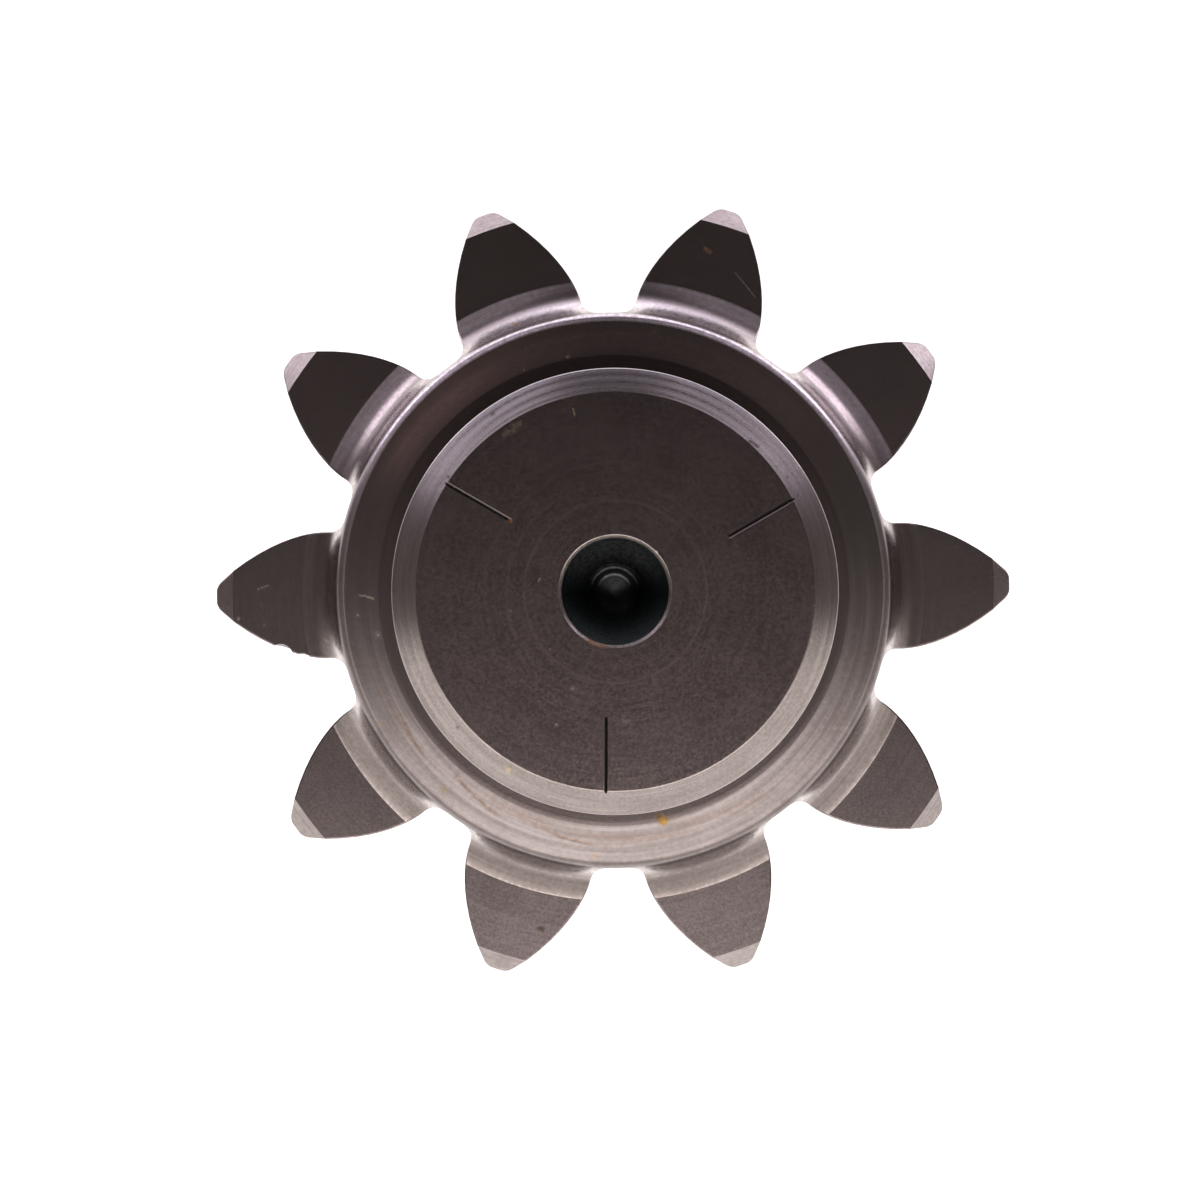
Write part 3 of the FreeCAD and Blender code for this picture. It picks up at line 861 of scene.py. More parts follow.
# Each comment says how a surface was made, what the eye gets from its steel and which of its streaks are
# painted highlight or painted shade.
FINISHES: dict[Zone, SteelFinish] = {
    # Faced alloy steel under an oil film: dark and satin, fine brown mottling, a few faint rings of the
    # tool, one spot of rust at the end of a bite and a few flecks of dried oil.
    Zone.NOSE_FACE: SteelFinish(
        "#847979", "#5d5453", 0.22, 0.012, 0.34, 0.0015, 0.5, 0.004, 0.2, speck=0.65, cloud=7.0,
        cloud_tint=0.2,
        stains=RUST_SPOT + (
            Stain((-4.8, 22.5, END), 0.13, "#a0946f", 0.6, end=(-4.6, 21.7, END)),
            Stain((-11.4, 20.8, END), 0.45, "#8f8168", 0.35, end=(-13.2, 19.4, END)),
            Stain((-5.4, -11.8, END), 0.34, "#a29a94", 0.35),
            Stain((-7.5, -16.2, END), 0.24, "#a29a94", 0.45),
            Stain((-9.3, 1.6, END), 0.28, "#8f9386", 0.4),
            Stain((-12.9, -2.1, END), 0.28, "#94897a", 0.35),
            Stain((1.0, -16.0, END), 0.60, "#9a918d", 0.25),
            Stain((-8.1, -7.0, END), 0.20, "#6e645c", 0.5),
            Stain((5.15, 4.75, END), 0.20, "#cfc8ba", 0.9),
        ),
        streaks=(
            Streak(7.05, 0.35, -128.0, -92.0, "#90613c", 0.6),
            Streak(9.4, 0.30, -180.0, 180.0, "#938a8a", 0.09),
            Streak(11.2, 0.40, -180.0, 180.0, "#9a9090", 0.20),
            Streak(11.6, 0.25, 20.0, 160.0, "#4f4848", 0.30),
            Streak(13.3, 0.40, -180.0, 180.0, "#938a8a", 0.08),
            Streak(15.9, 0.45, -180.0, 180.0, "#938a8a", 0.07),
        )),
    # Turned bevel: lighter, with its tool rings painted as three bright highlight lines and three dark shade
    # lines over the upper half only.
    Zone.CHAMFER: SteelFinish(
        "#c4bdba", "#a69e9b", 0.25, 0.02, 0.4, 0.005, 0.6, 0.018, 0.5, cloud_tint=0.15,
        streaks=(
            # Painted highlight lines alternate with painted shade lines, over the upper half only.
            Streak(27.25, 0.5, 30.0, 155.0, "#ece5ec", 0.7, rough=0.27),
            Streak(26.75, 0.3, 35.0, 150.0, "#4e4649", 0.85),
            Streak(26.25, 0.4, 40.0, 160.0, "#e4dde4", 0.6, rough=0.27),
            Streak(25.75, 0.3, 30.0, 140.0, "#524a4d", 0.85),
            Streak(25.25, 0.35, 25.0, 150.0, "#dcd5db", 0.5, rough=0.27),
            Streak(24.85, 0.25, 45.0, 150.0, "#5a5154", 0.75),
        ),
        stains=(
            Stain((-13.4, -21.7, 229.4), 0.55, "#d6c6a4", 0.8),
            Stain((-13.2, -21.2, 229.6), 0.22, "#8d6d48", 0.8),
            Stain((-25.2, -3.6, 229.0), 0.26, "#6d523c", 0.8),
            Stain((16.9, 18.2, 229.9), 0.34, "#352d2f", 0.85, end=(17.6, 17.6, 229.8)),
            Stain((-14.6, 22.1, 228.9), 0.42, "#4a4245", 0.7),
            Stain((-19.6, -16.3, 229.4), 0.28, "#6f6a66", 0.6),
            Stain((-20.2, 14.4, 229.8), 0.30, "#433a3d", 0.7),
            Stain((21.3, 13.7, 229.5), 0.30, "#54494b", 0.6),
            Stain((22.6, 11.5, 229.5), 0.28, "#54494b", 0.6),
        )),
    # Ground journal: the smoothest surface, with hair-fine rings.
    Zone.JOURNAL: SteelFinish("#c4bebb", "#b0a9a6", 0.24, 0.012, 0.5, 0.003, 0.10, 0.004, 0.3,
                              cloud_tint=0.1),
    # Ground abutment for a bearing ring: dark and even, as the end faces are.
    Zone.ABUTMENT: SteelFinish(
        "#7a706f", "#675e5c", 0.22, 0.012, 0.5, 0.004, 0.3, 0.004, 0.2, cloud_tint=0.2, stains=GOLD_BLOB),
    # Turned shoulder: satin, with soft rings and brown streaks of dried oil along them, and a painted
    # highlight band over its upper half.
    Zone.SHOULDER: SteelFinish(
        "#928b8a", "#787170", 0.22, 0.012, 0.6, 0.005, 0.8, 0.006, 0.6, speck=0.25, cloud_tint=0.15,
        stains=GOLD_BLOB + (
            Stain((-3.2, -34.1, 204.6), 0.32, "#a58a68", 0.5),
            Stain((-4.05, 34.4, 204.4), 0.24, "#b3a27c", 0.8),
            Stain((-5.4, 30.2, RING), 0.30, "#c9c2a2", 0.8),
            Stain((-11.1, 28.6, RING), 0.16, "#d0c4c0", 0.6),
            Stain((5.7, 33.4, 204.7), 0.45, "#7d684c", 0.4),
            Stain((-32.7, -0.1, 204.9), 0.22, "#c0aca2", 0.5, end=(-31.9, -0.15, 204.9)),
            Stain((-31.6, -0.3, 204.9), 0.20, "#c4bda6", 0.5, end=(-31.0, -0.5, 204.9)),
            Stain((-33.1, -2.6, 204.8), 0.30, "#a89c96", 0.4),
            Stain((-30.5, -5.15, RING), 0.45, "#b0a6a2", 0.35),
            Stain((-30.4, -16.7, 204.7), 0.26, "#a58f5e", 0.8),
            Stain((-22.3, -25.3, 204.7), 0.55, "#8f8264", 0.45),
        ),
        streaks=(
            # Painted highlight: a broad light band over the upper half and a lighter patch at the upper left.
            Streak(32.0, 6.00, 12.0, 168.0, "#a89a97", 0.6, rough=0.25),
            Streak(32.6, 2.60, 112.0, 158.0, "#bda49f", 0.5, rough=0.27),
            Streak(32.1, 0.50, -153.0, -138.0, "#705b4a", 0.7, drift=0.9),
            Streak(31.9, 0.60, -136.0, -115.0, "#755f4e", 0.7, drift=2.0),
            Streak(32.3, 0.60, -116.0, -88.0, BROWN, 0.5, drift=1.9),
            Streak(32.6, 0.35, -108.0, -94.0, "#6b5444", 0.6, drift=0.9),
            Streak(32.0, 0.95, -106.0, -68.0, BROWN, 0.5, drift=1.6),
            Streak(32.0, 1.20, -80.0, -48.0, BROWN, 0.4, drift=2.4),
            Streak(31.2, 1.00, -128.0, -102.0, BROWN, 0.4),
            Streak(32.6, 0.80, -185.0, -128.0, BROWN, 0.3, drift=-1.5),
            Streak(33.0, 0.60, -50.0, 20.0, BROWN, 0.3, drift=-1.0),
            Streak(33.2, 0.60, 40.0, 140.0, "#6d5f59", 0.4),
        )),
    # Rounded edge of the shoulder: small, with a bright painted highlight along its upper half.
    Zone.BOSS: SteelFinish(
        "#9a9290", "#827a78", 0.36, 0.02, 0.6, 0.002, 0.3, 0.002, 0.3,
        stains=(Stain((-4.1, 34.8, 204.3), 0.28, "#c0ac84", 0.8),),
        # Painted highlight along the upper half of the edge.
        streaks=(Streak(35.1, 2.4, 2.0, 178.0, "#eae2e6", 0.95, rough=0.25),)),
    # Cove turned in front of the teeth: smooth, so that it draws the lights out into arcs. Painted highlights
    # brighten a ring all round near the boss and an arc at the top, and a painted shade band darkens the
    # crease over the lower half.
    Zone.COVE: SteelFinish(
        "#a59d9a", "#8c8380", 0.25, 0.02, 0.6, 0.004, 0.6, 0.005, 0.4, cloud_tint=0.2,
        stains=(
            Stain((-12.06, 34.73, 200.1), 0.60, "#d2a884", 0.95),
            Stain((-37.6, -5.9, 199.0), 0.45, "#c9bdae", 0.5),
        ),
        streaks=(
            # Painted highlights on the first two streaks, painted shade on the third.
            Streak(36.6, 1.2, -180.0, 180.0, "#dcd4d1", 0.95, rough=0.27),
            Streak(37.2, 1.4, 55.0, 128.0, "#f6eef2", 0.9, rough=0.34),
            Streak(40.8, 0.9, -168.0, -12.0, "#6f6765", 0.8, rough=0.30),
        )),
    # Faced sides of the teeth, as dark as the end face.
    Zone.TOOTH_FACE: SteelFinish(
        "#857b7b", "#696160", 0.22, 0.012, 0.30, 0.0015, 0.5, 0.002, 0.25, speck=0.55, cloud=7.0,
        cloud_tint=0.2,
        stains=(
            Stain((13.4, 43.9, FRONT), 0.36, "#8a5a3c", 0.6, end=(12.7, 44.4, FRONT)),
            Stain((16.6, 41.2, FRONT), 0.12, "#b8b0b2", 0.35, end=(19.2, 37.9, FRONT)),
            Stain((-46.4, 0.9, FRONT), 0.16, "#a39a98", 0.35, end=(-45.1, 1.4, FRONT)),
            Stain((-49.0, -2.9, FRONT), 0.30, "#b3a09a", 0.5),
            Stain((-45.9, -1.1, FRONT), 0.24, "#a39a98", 0.25),
            Stain((-45.6, -3.8, FRONT), 0.28, "#a39a98", 0.3),
            Stain((-10.1, -44.1, FRONT), 0.50, "#4a4636", 0.85),
            Stain((-15.8, -41.8, FRONT), 0.28, "#5c5249", 0.5),
            Stain((-5.0, -41.0, FRONT), 0.32, "#4d4640", 0.6),
            Stain((-33.7, -31.5, FRONT), 0.36, "#4f3a36", 0.5),
        )),
    # Turned bevel of the tips: satin.
    Zone.TIP_BEVEL: SteelFinish("#a39b98", "#8c8381", 0.26, 0.02, 0.6, 0.006, 0.4, 0.006, 0.4),
    # Hobbed flanks: marks of the cutter's feed run across them.
    Zone.FLANK: SteelFinish("#aaa3a0", "#978f8b", 0.32, 0.02, 0.5, 0.006, 2.4, 0.03, 0.25, cloud=9.0,
                            cloud_tint=0.12, across=True),
    # Deburred rim of the centre hole: a thin bright line, rusty at one place.
    Zone.RIM: SteelFinish(
        "#9c958f", "#736c67", 0.42, 0.06, 0.3, 0.012, 0.2, 0.01, 0.4, speck=0.8,
        streaks=(Streak(6.8, 1.2, -130.0, -92.0, "#85552f", 0.85),)),
    # Centre drill's cone, coloured dark as painted shade in the hole, with a painted sheen over its upper
    # half and a white painted highlight along the upper edge where it breaks into the pilot bore.
    Zone.CENTRE: SteelFinish(
        "#50575a", "#3a4043", 0.30, 0.03, 0.5, 0.004, 0.25, 0.006, 0.3,
        streaks=(
            # Painted sheen over the upper half, then a painted highlight line at the pilot's edge.
            Streak(5.0, 4.0, -10.0, 190.0, "#ccd2d5", 0.9),
            Streak(3.35, 0.30, 5.0, 175.0, "#ffffff", 1.0),
        )),
    # Pilot bore and the drill's point, coloured near black as painted shade deep in the hole, with two
    # painted highlight arcs over the upper half and a lighter disc at the drill's point.
    Zone.DRILLED: SteelFinish(
        "#26282a", "#1c1d1e", 0.30, 0.03, 0.5, 0.003, 0.25, 0.006, 0.3,
        streaks=(
            # The first two streaks are painted highlight arcs.
            Streak(3.0, 0.35, 0.0, 180.0, "#b9bec2", 1.0),
            Streak(2.1, 0.30, 10.0, 170.0, "#7d8286", 0.9),
            Streak(0.0, 1.50, -180.0, 180.0, "#4b484a", 0.6),
        )),
    # Pressed by the driver's edges: clean metal.
    Zone.BITE: SteelFinish("#a39b98", "#8a8280", 0.26, 0.02, 0.4, 0.003, 0.3, 0.002, 0.2, stains=RUST_SPOT),
    # Steep side of the same bites, coloured near black as painted shade.
    Zone.BITE_PAINTED_SHADE: SteelFinish(
        "#2b2828", "#201d1d", 0.40, 0.03, 0.4, 0.003, 0.3, 0.002, 0.2, stains=RUST_SPOT),
    # Dents, dulled by oil and darker than the flank round them.
    Zone.DENT: SteelFinish("#625b59", "#4e4846", 0.34, 0.05, 0.4, 0.010, 0.3, 0.004, 0.2),
    # Plain turned surfaces, with open tool rings.
    Zone.TURNED: SteelFinish("#b3aba8", "#a29a97", 0.32, 0.018, 0.5, 0.006, 0.3, 0.02, 0.4, cloud_tint=0.12),
    # Sides of the spline, cut along a hob's feed.
    Zone.SPLINE: SteelFinish("#aaa3a0", "#978f8b", 0.32, 0.02, 0.5, 0.006, 1.6, 0.02, 0.25, cloud_tint=0.12,
                             across=True),
}


@dataclass
class PinionShaft:
    """The whole shaft as one piece of steel."""

    teeth: ToothForm = ToothForm(module=8.0, count=10, pressure_angle=20.0, shift=0.65, addendum=0.85,
                                 dedendum=1.15, fillet=2.2, tip_round=2.0, steps=(7, 12, 5), edge_margin=0.25)
    spline: ToothForm = ToothForm(module=2.0, count=24, pressure_angle=30.0, shift=-0.05, addendum=0.45,
                                  dedendum=0.55, fillet=0.32, tip_round=0.0, steps=(3, 5, 0), edge_margin=0.2)
    spline_top: float = 48.0
    spline_bevel: float = 2.4
    relief_width: float = 4.0
    relief_step: float = 0.3
    seal_radius: float = 27.5
    seal_length: float = 32.0
    bearing_radius: float = 30.0
    bearing_length: float = 31.0
    shaft_bevel: float = 1.5
    undercut_width: float = 2.5
    undercut_depth: float = 0.3
    undercut_run: float = 1.1
    boss_step: float = 0.15
    boss_rise: float = 7.5
    boss_bevel: float = 0.75
    front_round: float = 1.8
    abutment_blend: float = 0.5
    rear_cone: float = 4.7
    face_width: float = 75.0
    tip_bevel: float = 2.3
    cove_radius: float = 6.0
    cove_reach: float = 4.75
    cove_steps: int = 3
    abutment_radius: float = 30.15
    ring_fall: float = 0.5
    nose_radius: float = 27.5
    nose_length: float = 25.0
    nose_bevel: float = 3.0
    nose_bevel_depth: float = 1.75
    broken: float = 0.12
    sharp_angle: float = 28.0
    # Radii of plain rings that keep the faces of the two ends short.
    nose_rings: tuple[float, ...] = (10.5, 15.0, 20.0)
    drive_ring: float = 15.0
    hole: CentreHole = CentreHole()
    bites: DriverBites = DriverBites()
    nicks: tuple[EdgeNick, ...] = (EdgeNick(43.8, 1.62, 0.65, 11.0), EdgeNick(41.3, 1.13, 0.33, 7.0))

    def __post_init__(self) -> None:
        """Works out what follows from the sizes."""
        self.relief_top = self.spline_top + self.relief_width
        self.seal_top = self.relief_top + self.seal_length
        self.rear_shoulder = self.seal_top + self.bearing_length
        self.teeth_bottom = self.rear_shoulder + self.boss_rise
        self.teeth_top = self.teeth_bottom + self.face_width
        self.front_shoulder = self.teeth_top + self.boss_rise
        self.nose_end = self.front_shoulder + self.nose_length
        self.boss_radius = self.teeth.root_radius - self.boss_step
        self.tip_flat = self.teeth.tip_radius - self.tip_bevel
        self.crease = self.boss_radius + self.cove_reach
        self.cove_top = self.teeth_top + math.sqrt(
            self.cove_radius ** 2 - (self.cove_radius - self.cove_reach) ** 2)
        self.cone_end = self.boss_radius + self.rear_cone
        self.nick_middles = [nick.middle(self.teeth, self.teeth_top) for nick in self.nicks]

    def front_height(self, radius: float) -> float:
        """The height of the turned surface in front of the teeth: the cove, the flat and the tip bevel.

        Args:
            radius: How far out.

        Returns:
            The height.
        """
        if radius < self.crease:
            left = self.cove_radius - (radius - self.boss_radius)
            return self.cove_top - math.sqrt(max(self.cove_radius ** 2 - left ** 2, 0.0))
        return self.teeth_top - max(radius - self.tip_flat, 0.0)

    def rear_height(self, radius: float) -> float:
        """The height of the turned surface behind the teeth: a plain cone, the flat and the tip bevel."""
        return self.teeth_bottom - max(self.cone_end - radius, 0.0) + max(radius - self.tip_flat, 0.0)

    def spline_low(self, radius: float) -> float:
        """The height of the bevel at the spline's free end."""
        return max(radius - (self.spline.tip_radius - self.spline_bevel), 0.0)

    def spline_high(self, radius: float) -> float:
        """The height at which the spline ends beside its relief, the same at every radius."""
        return self.spline_top

    def broken_corners(self, *places: tuple[float, float]) -> list[Corner]:
        """Corners that are broken like most of the shaft's."""
        return [Corner(out, up, self.broken) for out, up in places]

    def cove_corners(self) -> list[Corner]:
        """The cove's outline from where it meets the boss to the root circle.

        Returns:
            Its corners.
        """
        last = math.acos(1 - self.boss_step / self.cove_radius)
        outs = [self.boss_radius + self.cove_radius * (1 - math.cos(last * step / self.cove_steps))
                for step in range(self.cove_steps + 1)]
        return [Corner(out, self.front_height(out)) for out in outs]

    def front_corners(self) -> list[Corner]:
        """The turned outline from the drill's point in the nose down to the root circle.

        Returns:
            Its corners.
        """
        floor, low_run = self.nose_radius - self.undercut_depth, self.front_shoulder + self.undercut_width
        return self.hole.corners(self.nose_end, -1.0) + \
            [Corner(out, self.nose_end) for out in self.nose_rings] + \
            self.broken_corners(
                (self.nose_radius - self.nose_bevel, self.nose_end),
                (self.nose_radius, self.nose_end - self.nose_bevel_depth),
                (self.nose_radius, low_run),
                (floor, low_run - self.undercut_run),
                (floor, self.front_shoulder)) + \
            [Corner(self.abutment_radius, self.front_shoulder, self.abutment_blend),
             Corner(self.boss_radius, self.front_shoulder - self.ring_fall, self.front_round)] + \
            self.cove_corners()

    def rear_corners(self) -> list[Corner]:
        """The turned outline from the root circle behind the teeth down to the spline's root circle.

        Returns:
            Its corners.
        """
        root, relief = self.teeth.root_radius, self.spline.root_radius - self.relief_step
        floor, low_run = self.bearing_radius - self.undercut_depth, self.rear_shoulder - self.undercut_width
        return [
            Corner(root, self.rear_height(root)),
            Corner(self.boss_radius, self.rear_height(self.boss_radius)),
        ] + self.broken_corners(
            (self.boss_radius, self.rear_shoulder + self.boss_bevel),
            (self.boss_radius - self.boss_bevel, self.rear_shoulder),
            (floor, self.rear_shoulder),
            (floor, low_run + self.undercut_run),
            (self.bearing_radius, low_run),
            (self.bearing_radius, self.seal_top + self.shaft_bevel),
            (self.bearing_radius - self.shaft_bevel, self.seal_top),
            (self.seal_radius, self.seal_top),
            (self.seal_radius, self.relief_top + self.shaft_bevel),
            (self.seal_radius - self.shaft_bevel, self.relief_top),
            (relief, self.relief_top),
            (relief, self.spline_top),
        ) + [Corner(self.spline.root_radius, self.spline_top)]

    def drive_corners(self) -> list[Corner]:
        """The turned outline from the spline's root circle over the drive end to its drill's point.

        Returns:
            Its corners.
        """
        root = self.spline.root_radius
        face = self.spline.tip_radius - self.spline_bevel
        return [Corner(root, self.spline_low(root)), Corner(face, 0.0, self.broken),
                Corner(self.drive_ring, 0.0)] + self.hole.corners(0.0, 1.0)[::-1]

    def bands(self) -> list[ToothedBand]:
        """The two toothed parts: the pinion's teeth and the drive spline.

        Returns:
            The pinion's teeth first.
        """
        marks = (self.crease, self.tip_flat, self.cone_end)
        return [ToothedBand(self.teeth, self.rear_height, self.front_height, self.teeth.radii(marks)),
                ToothedBand(self.spline, self.spline_low, self.spline_high, self.spline.radii(()))]

    def build_mesh(self) -> Mesh:
        """Builds the closed surface of the shaft, in millimetres, without its bites and nicks.

        Returns:
            The mesh.
        """
        mesh, bands = bmesh.new(), self.bands()
        for corners in (self.front_corners(), self.rear_corners(), self.drive_corners()):
            TurnedWall(corners).add_to(mesh)
        for band in bands:
            for height in (band.high_end, band.low_end):
                band.fit_ring(mesh, height)
                band.add_end(mesh, height)
        bmesh.ops.remove_doubles(mesh, verts=mesh.verts[:], dist=WELD_WITHIN)
        for band in bands:
            band.add_walls(mesh)
        bmesh.ops.remove_doubles(mesh, verts=mesh.verts[:], dist=WELD_WITHIN)
        bmesh.ops.recalc_face_normals(mesh, faces=mesh.faces[:])
        outlines = [edge for band in bands for edge in band.outlines(mesh)]
        bmesh.ops.bevel(mesh, geom=outlines, offset=self.broken, offset_type="OFFSET", segments=2,
                        profile=0.5, affect="EDGES", material=-1, clamp_overlap=False)
        LOG.info("open edges: %d", sum(len(edge.link_faces) != 2 for edge in mesh.edges))
        return mesh

    def zone_of(self, place: Vector, normal: Vector) -> Zone:
        """The surface that a face belongs to.

        Args:
            place: The face's centre.
            normal: The way it faces.

        Returns:
            The zone.
        """
        out, upright = out_of(place), abs(normal.z) < UPRIGHT
        if out < self.hole.mouth + self.hole.rim:
            if out < self.hole.pilot + BESIDE:
                return Zone.DRILLED
            return Zone.CENTRE if out < self.hole.mouth - BESIDE else Zone.RIM
        if place.z > self.front_shoulder + CLOSE:
            if place.z > self.nose_end - BESIDE and normal.z > LEVEL:
                return Zone.NOSE_FACE
            return Zone.CHAMFER if place.z > self.nose_end - self.nose_bevel_depth - BESIDE else Zone.JOURNAL
        in_front = place.z > (self.teeth_bottom + self.teeth_top) / 2
        if in_front and out < self.boss_radius - self.front_round:
            return Zone.SHOULDER if out > self.abutment_radius else Zone.ABUTMENT
        if place.z > self.cove_top - CLOSE and out < self.boss_radius + CLOSE:
            return Zone.BOSS
        if place.z > self.rear_shoulder - CLOSE:
            beside_teeth = place.z > self.teeth_bottom - self.rear_cone
            if upright and beside_teeth and out < self.teeth.tip_radius - CLOSE:
                return Zone.FLANK
            if upright or out > self.tip_flat:
                return Zone.TIP_BEVEL
            if place.z > self.teeth_top + NEAR:
                return Zone.COVE
            return Zone.TOOTH_FACE if in_front else Zone.TURNED
        if place.z > self.relief_top:
            return Zone.JOURNAL if upright and out > self.seal_radius - CLOSE else Zone.TURNED
        return Zone.SPLINE if upright and out > self.spline.root_radius - CLOSE else Zone.TURNED

    def dent_or(self, zone: Zone, place: Vector, normal: Vector) -> Zone:
        """The zone of a face, unless a nick or a bite made it.

        Args:
            zone: The zone that the face would have.
            place: The face's centre.
            normal: The way it faces.

        Returns:
            The dent's zone or the one given.
        """
        if any(nick.holds(middle, place) for nick, middle in zip(self.nicks, self.nick_middles)):
            return Zone.DENT
        deep = self.nose_end - self.bites.depth < place.z < self.nose_end - CLOSE
        if deep and self.bites.start < out_of(place) < self.nose_radius - self.nose_bevel:
            backward = Vector((place.y, -place.x, 0.0)).normalized()
            # A steep wall gets the near-black painted shade.
            return Zone.BITE_PAINTED_SHADE if normal.dot(backward) > self.bites.shaded else Zone.BITE
        return zone

    def on_crease(self, place: Vector) -> bool:
        """Whether a point is on the line where the cove meets the front of a tooth."""
        return abs(out_of(place) - self.crease) < CLOSE and abs(place.z - self.teeth_top) < CLOSE

    def cut(self, shaft: bpy.types.Object) -> None:
        """Cuts the bites and the nicks into the shaft.

        Args:
            shaft: The shaft, in millimetres.
        """
        cutters = [as_object("bites", self.bites.cutter(self.nose_end))]
        for nick, middle in zip(self.nicks, self.nick_middles):
            cutters.append(as_object("nick", nick.cutter(middle)))
        for cutter in cutters:
            cut = shaft.modifiers.new("cut", "BOOLEAN")
            cut.operation, cut.solver, cut.object = "DIFFERENCE", "EXACT", cutter
        graph = bpy.context.evaluated_depsgraph_get()
        shaft.data = bpy.data.meshes.new_from_object(shaft.evaluated_get(graph), depsgraph=graph)
        shaft.modifiers.clear()
        for cutter in cutters:
            bpy.data.objects.remove(cutter)

    def dress(self, shaft: bpy.types.Object) -> None:
        """Gives each surface of the shaft its own steel.

        Args:
            shaft: The shaft, still in millimetres.
        """
        mesh, zones = shaft.data, list(Zone)
        for zone in zones:
            mesh.materials.append(SteelDresser(zone, FINISHES[zone]).build())
        for face in mesh.polygons:
            zone = self.zone_of(face.center, face.normal)
            face.material_index = zones.index(self.dent_or(zone, face.center, face.normal))
        mesh.shade_smooth()
        mesh.set_sharp_from_angle(angle=math.radians(self.sharp_angle))
        # The cove meets the flat at so weak an angle that the limit would smooth it over.
        for edge in mesh.edges:
            if all(self.on_crease(mesh.vertices[end].co) for end in edge.vertices):
                edge.use_edge_sharp = True
        shaft.modifiers.new("even_normals", "WEIGHTED_NORMAL").keep_sharp = True

    def build(self) -> bpy.types.Object:
        """Builds, cuts and dresses the shaft.

        Returns:
            The finished object, in metres.
        """
        shaft = as_object("shaft_steel", self.build_mesh())
        self.cut(shaft)
        self.dress(shaft)
        shaft.data.transform(Matrix.Scale(MM, 4))
        return shaft


WARM, COOL = "#fff7f3", "#f7ecff"


@dataclass(frozen=True)
class Lamp:
    """A soft panel of the studio, in metres. Looks is how bright it looks from the shaft."""

    name: str
    place: Place
    aim: Place
    width: float
    height: float
    looks: float
    colour: str
    oval: bool = False

    def add(self) -> None:
        """Hangs the panel."""
        data = bpy.data.lights.new(self.name, "AREA")
        data.shape, data.size, data.size_y = "ELLIPSE" if self.oval else "RECTANGLE", self.width, self.height
        area = self.width * self.height * (math.pi / 4 if self.oval else 1.0)
        data.energy = self.looks * math.pi * area
        data.color = linear(self.colour)[:3]
        made = bpy.data.objects.new(self.name, data)
        made.location = self.place
        made.rotation_euler = (Vector(self.aim) - Vector(self.place)).to_track_quat("-Z", "Y").to_euler()
        made.visible_camera = False
        bpy.context.scene.collection.objects.link(made)


LAMPS = (
    Lamp("overhead", (0.0, -0.72, 1.75), (0.0, -0.72, 0.0), 2.2, 1.06, 2.3, WARM, oval=True),
    Lamp("front", (0.0, -1.00, 1.15), (0.0, 0.0, 1.15), 16.0, 2.5, 0.86, WARM),
    Lamp("back_low", (0.0, 1.20, 0.24), (0.0, 0.0, 0.24), 2.0, 0.56, 1.4, COOL),
    Lamp("low_right", (1.05, 0.88, 0.36), (0.0, 0.0, 0.36), 0.50, 0.50, 4.6, COOL),
    Lamp("low_left", (-1.05, 0.88, 0.38), (0.0, 0.0, 0.38), 0.50, 0.50, 3.9, COOL),
    Lamp("upper_right", (0.58, 0.72, 1.00), (0.0, 0.0, 0.20), 0.90, 0.7, 0.42, COOL),
    Lamp("upper_left", (-0.58, 0.72, 1.00), (0.0, 0.0, 0.20), 0.90, 0.7, 0.52, COOL),
    Lamp("ceiling_right", (0.46, 0.46, 1.75), (0.46, 0.46, 0.0), 0.5, 0.5, 0.06, "#ffdcd4"),
    Lamp("ceiling_left", (-0.46, 0.46, 1.75), (-0.46, 0.46, 0.0), 0.5, 0.5, 0.19, "#ffd6cc"),
    Lamp("side_right", (1.15, -0.05, 1.30), (0.0, -0.05, 0.20), 0.70, 0.7, 0.05, WARM),
    Lamp("side_left", (-1.15, -0.05, 1.30), (0.0, -0.05, 0.20), 0.70, 0.7, 0.08, WARM),
)


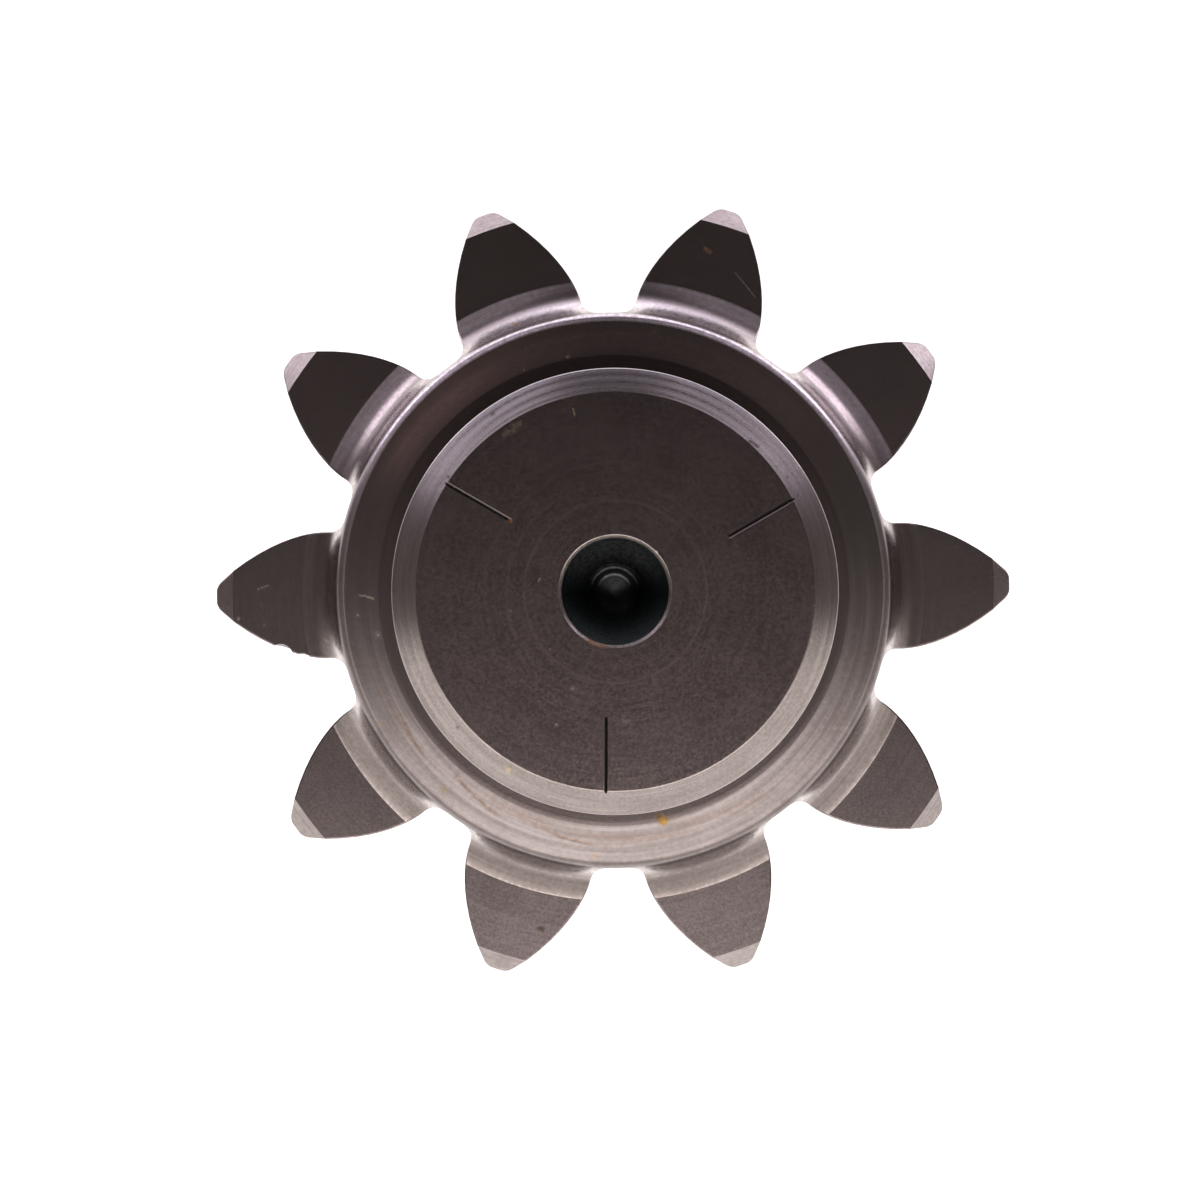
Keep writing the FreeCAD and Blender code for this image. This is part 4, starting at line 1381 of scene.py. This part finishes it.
class Studio:
    """The floor, the cards, the lamps, the world and the camera, in metres."""

    floor_size = 40.0
    floor_colour = "#e6e6e6"
    floor_lift = 0.8
    card_out = 0.75
    card_middle = 0.17
    card_size = (0.01, 0.60, 0.60)
    card_colour = "#6f6664"
    room_colour = "#dccbc8"
    room_strength = 0.064
    image_width = 1200
    focal_px = 4040.0
    distance = 0.495
    sensor = 36.0
    clip = (0.05, 50.0)
    roll = -0.95
    # Where the shaft's axis vanishes in the photograph, in its pixels.
    vanishing = (585.0, 572.0)
    # Where the middle of the nose end stands in the photograph, in its pixels.
    nose_at = (615.2, 591.6)

    def build(self, nose_end: float) -> None:
        """Builds everything around the object.

        Args:
            nose_end: The height of the nose end in metres.
        """
        self.add_floor()
        self.add_cards()
        self.add_world()
        for lamp in LAMPS:
            lamp.add()
        self.add_camera(nose_end)

    def add_floor(self) -> None:
        """Lays a pale floor that shows as white and still takes the object's shadow."""
        plane = bmesh.new()
        bmesh.ops.create_grid(plane, x_segments=1, y_segments=1, size=self.floor_size / 2)
        floor, sheet = as_object("floor", plane), NodeSheet("pale_floor")
        rays = sheet.add("LightPath").outputs
        seen = sheet.add("Math", rays["Is Camera Ray"], rays["Is Glossy Ray"], operation="ADD",
                         use_clamp=True)
        seen = sheet.add("Math", seen, rays["Is Transmission Ray"], operation="ADD", use_clamp=True)
        lift = sheet.add("Math", seen, self.floor_lift, operation="MULTIPLY")
        paint = sheet.add("BsdfDiffuse", Color=linear(self.floor_colour))
        glow = sheet.add("Emission", Color=(1.0, 1.0, 1.0, 1.0), Strength=lift)
        sheet.add("OutputMaterial", sheet.add("AddShader", paint, glow))
        floor.data.materials.append(sheet.material)

    def add_cards(self) -> None:
        """Stands a dark card at each side, for the bevels there to reflect."""
        sheet = NodeSheet("dark_card")
        sheet.add("OutputMaterial", sheet.add("BsdfDiffuse", Color=linear(self.card_colour)))
        for name, side in (("flag_left", -1), ("flag_right", 1)):
            card = bmesh.new()
            bmesh.ops.create_cube(card, size=1.0)
            bmesh.ops.scale(card, verts=card.verts[:], vec=self.card_size)
            bmesh.ops.translate(card, verts=card.verts[:],
                                vec=(side * self.card_out, self.card_middle, self.card_size[2] / 2))
            made = as_object(name, card)
            made.data.materials.append(sheet.material)
            made.visible_camera = made.visible_shadow = False

    def add_world(self) -> None:
        """Fills the room with a weak even grey."""
        world = bpy.data.worlds.new("room")
        world.use_nodes = True
        ground = world.node_tree.nodes["Background"]
        ground.inputs["Color"].default_value = linear(self.room_colour)
        ground.inputs["Strength"].default_value = self.room_strength
        bpy.context.scene.world = world

    def ray_through(self, pixel: tuple[float, float]) -> Vector:
        """The way that a pixel of the photograph looks, from the camera."""
        middle = self.image_width / 2
        return Vector(((pixel[0] - middle) / self.focal_px, (middle - pixel[1]) / self.focal_px, -1.0))

    def add_camera(self, nose_end: float) -> None:
        """Sets the camera over the nose, looking down the axis as the photograph does.

        Args:
            nose_end: The height of the nose end in metres.
        """
        data = bpy.data.cameras.new("camera")
        data.sensor_fit, data.sensor_width = "HORIZONTAL", self.sensor
        data.lens = self.focal_px / self.image_width * self.sensor
        data.clip_start, data.clip_end = self.clip
        made = bpy.data.objects.new("camera", data)
        # The axis vanishes off the image's middle, which is how far the camera is tipped.
        away = self.ray_through(self.vanishing)
        turn = Matrix.Rotation(math.radians(self.roll), 4, "Z") @ \
            Matrix.Rotation(-math.atan(away.y), 4, "X") @ Matrix.Rotation(math.atan(away.x), 4, "Y")
        towards = turn.to_3x3() @ self.ray_through(self.nose_at)
        place = Vector((0.0, 0.0, nose_end)) - towards * (self.distance / -towards.z)
        made.matrix_world = Matrix.Translation(place) @ turn
        bpy.context.scene.collection.objects.link(made)
        bpy.context.scene.camera = made


def main() -> None:
    """Builds the shaft and its studio and reports each piece."""
    logging.basicConfig(level=logging.INFO, format="%(name)s: %(message)s")
    maker = PinionShaft()
    shaft = maker.build()
    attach(shaft, "root")
    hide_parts("pinion_shaft")
    LOG.info("%s: %d faces", shaft.name, len(shaft.data.polygons))
    Studio().build(maker.nose_end * MM)
    bpy.context.scene.view_settings.view_transform = "Standard"


if __name__ == "__main__":
    main()
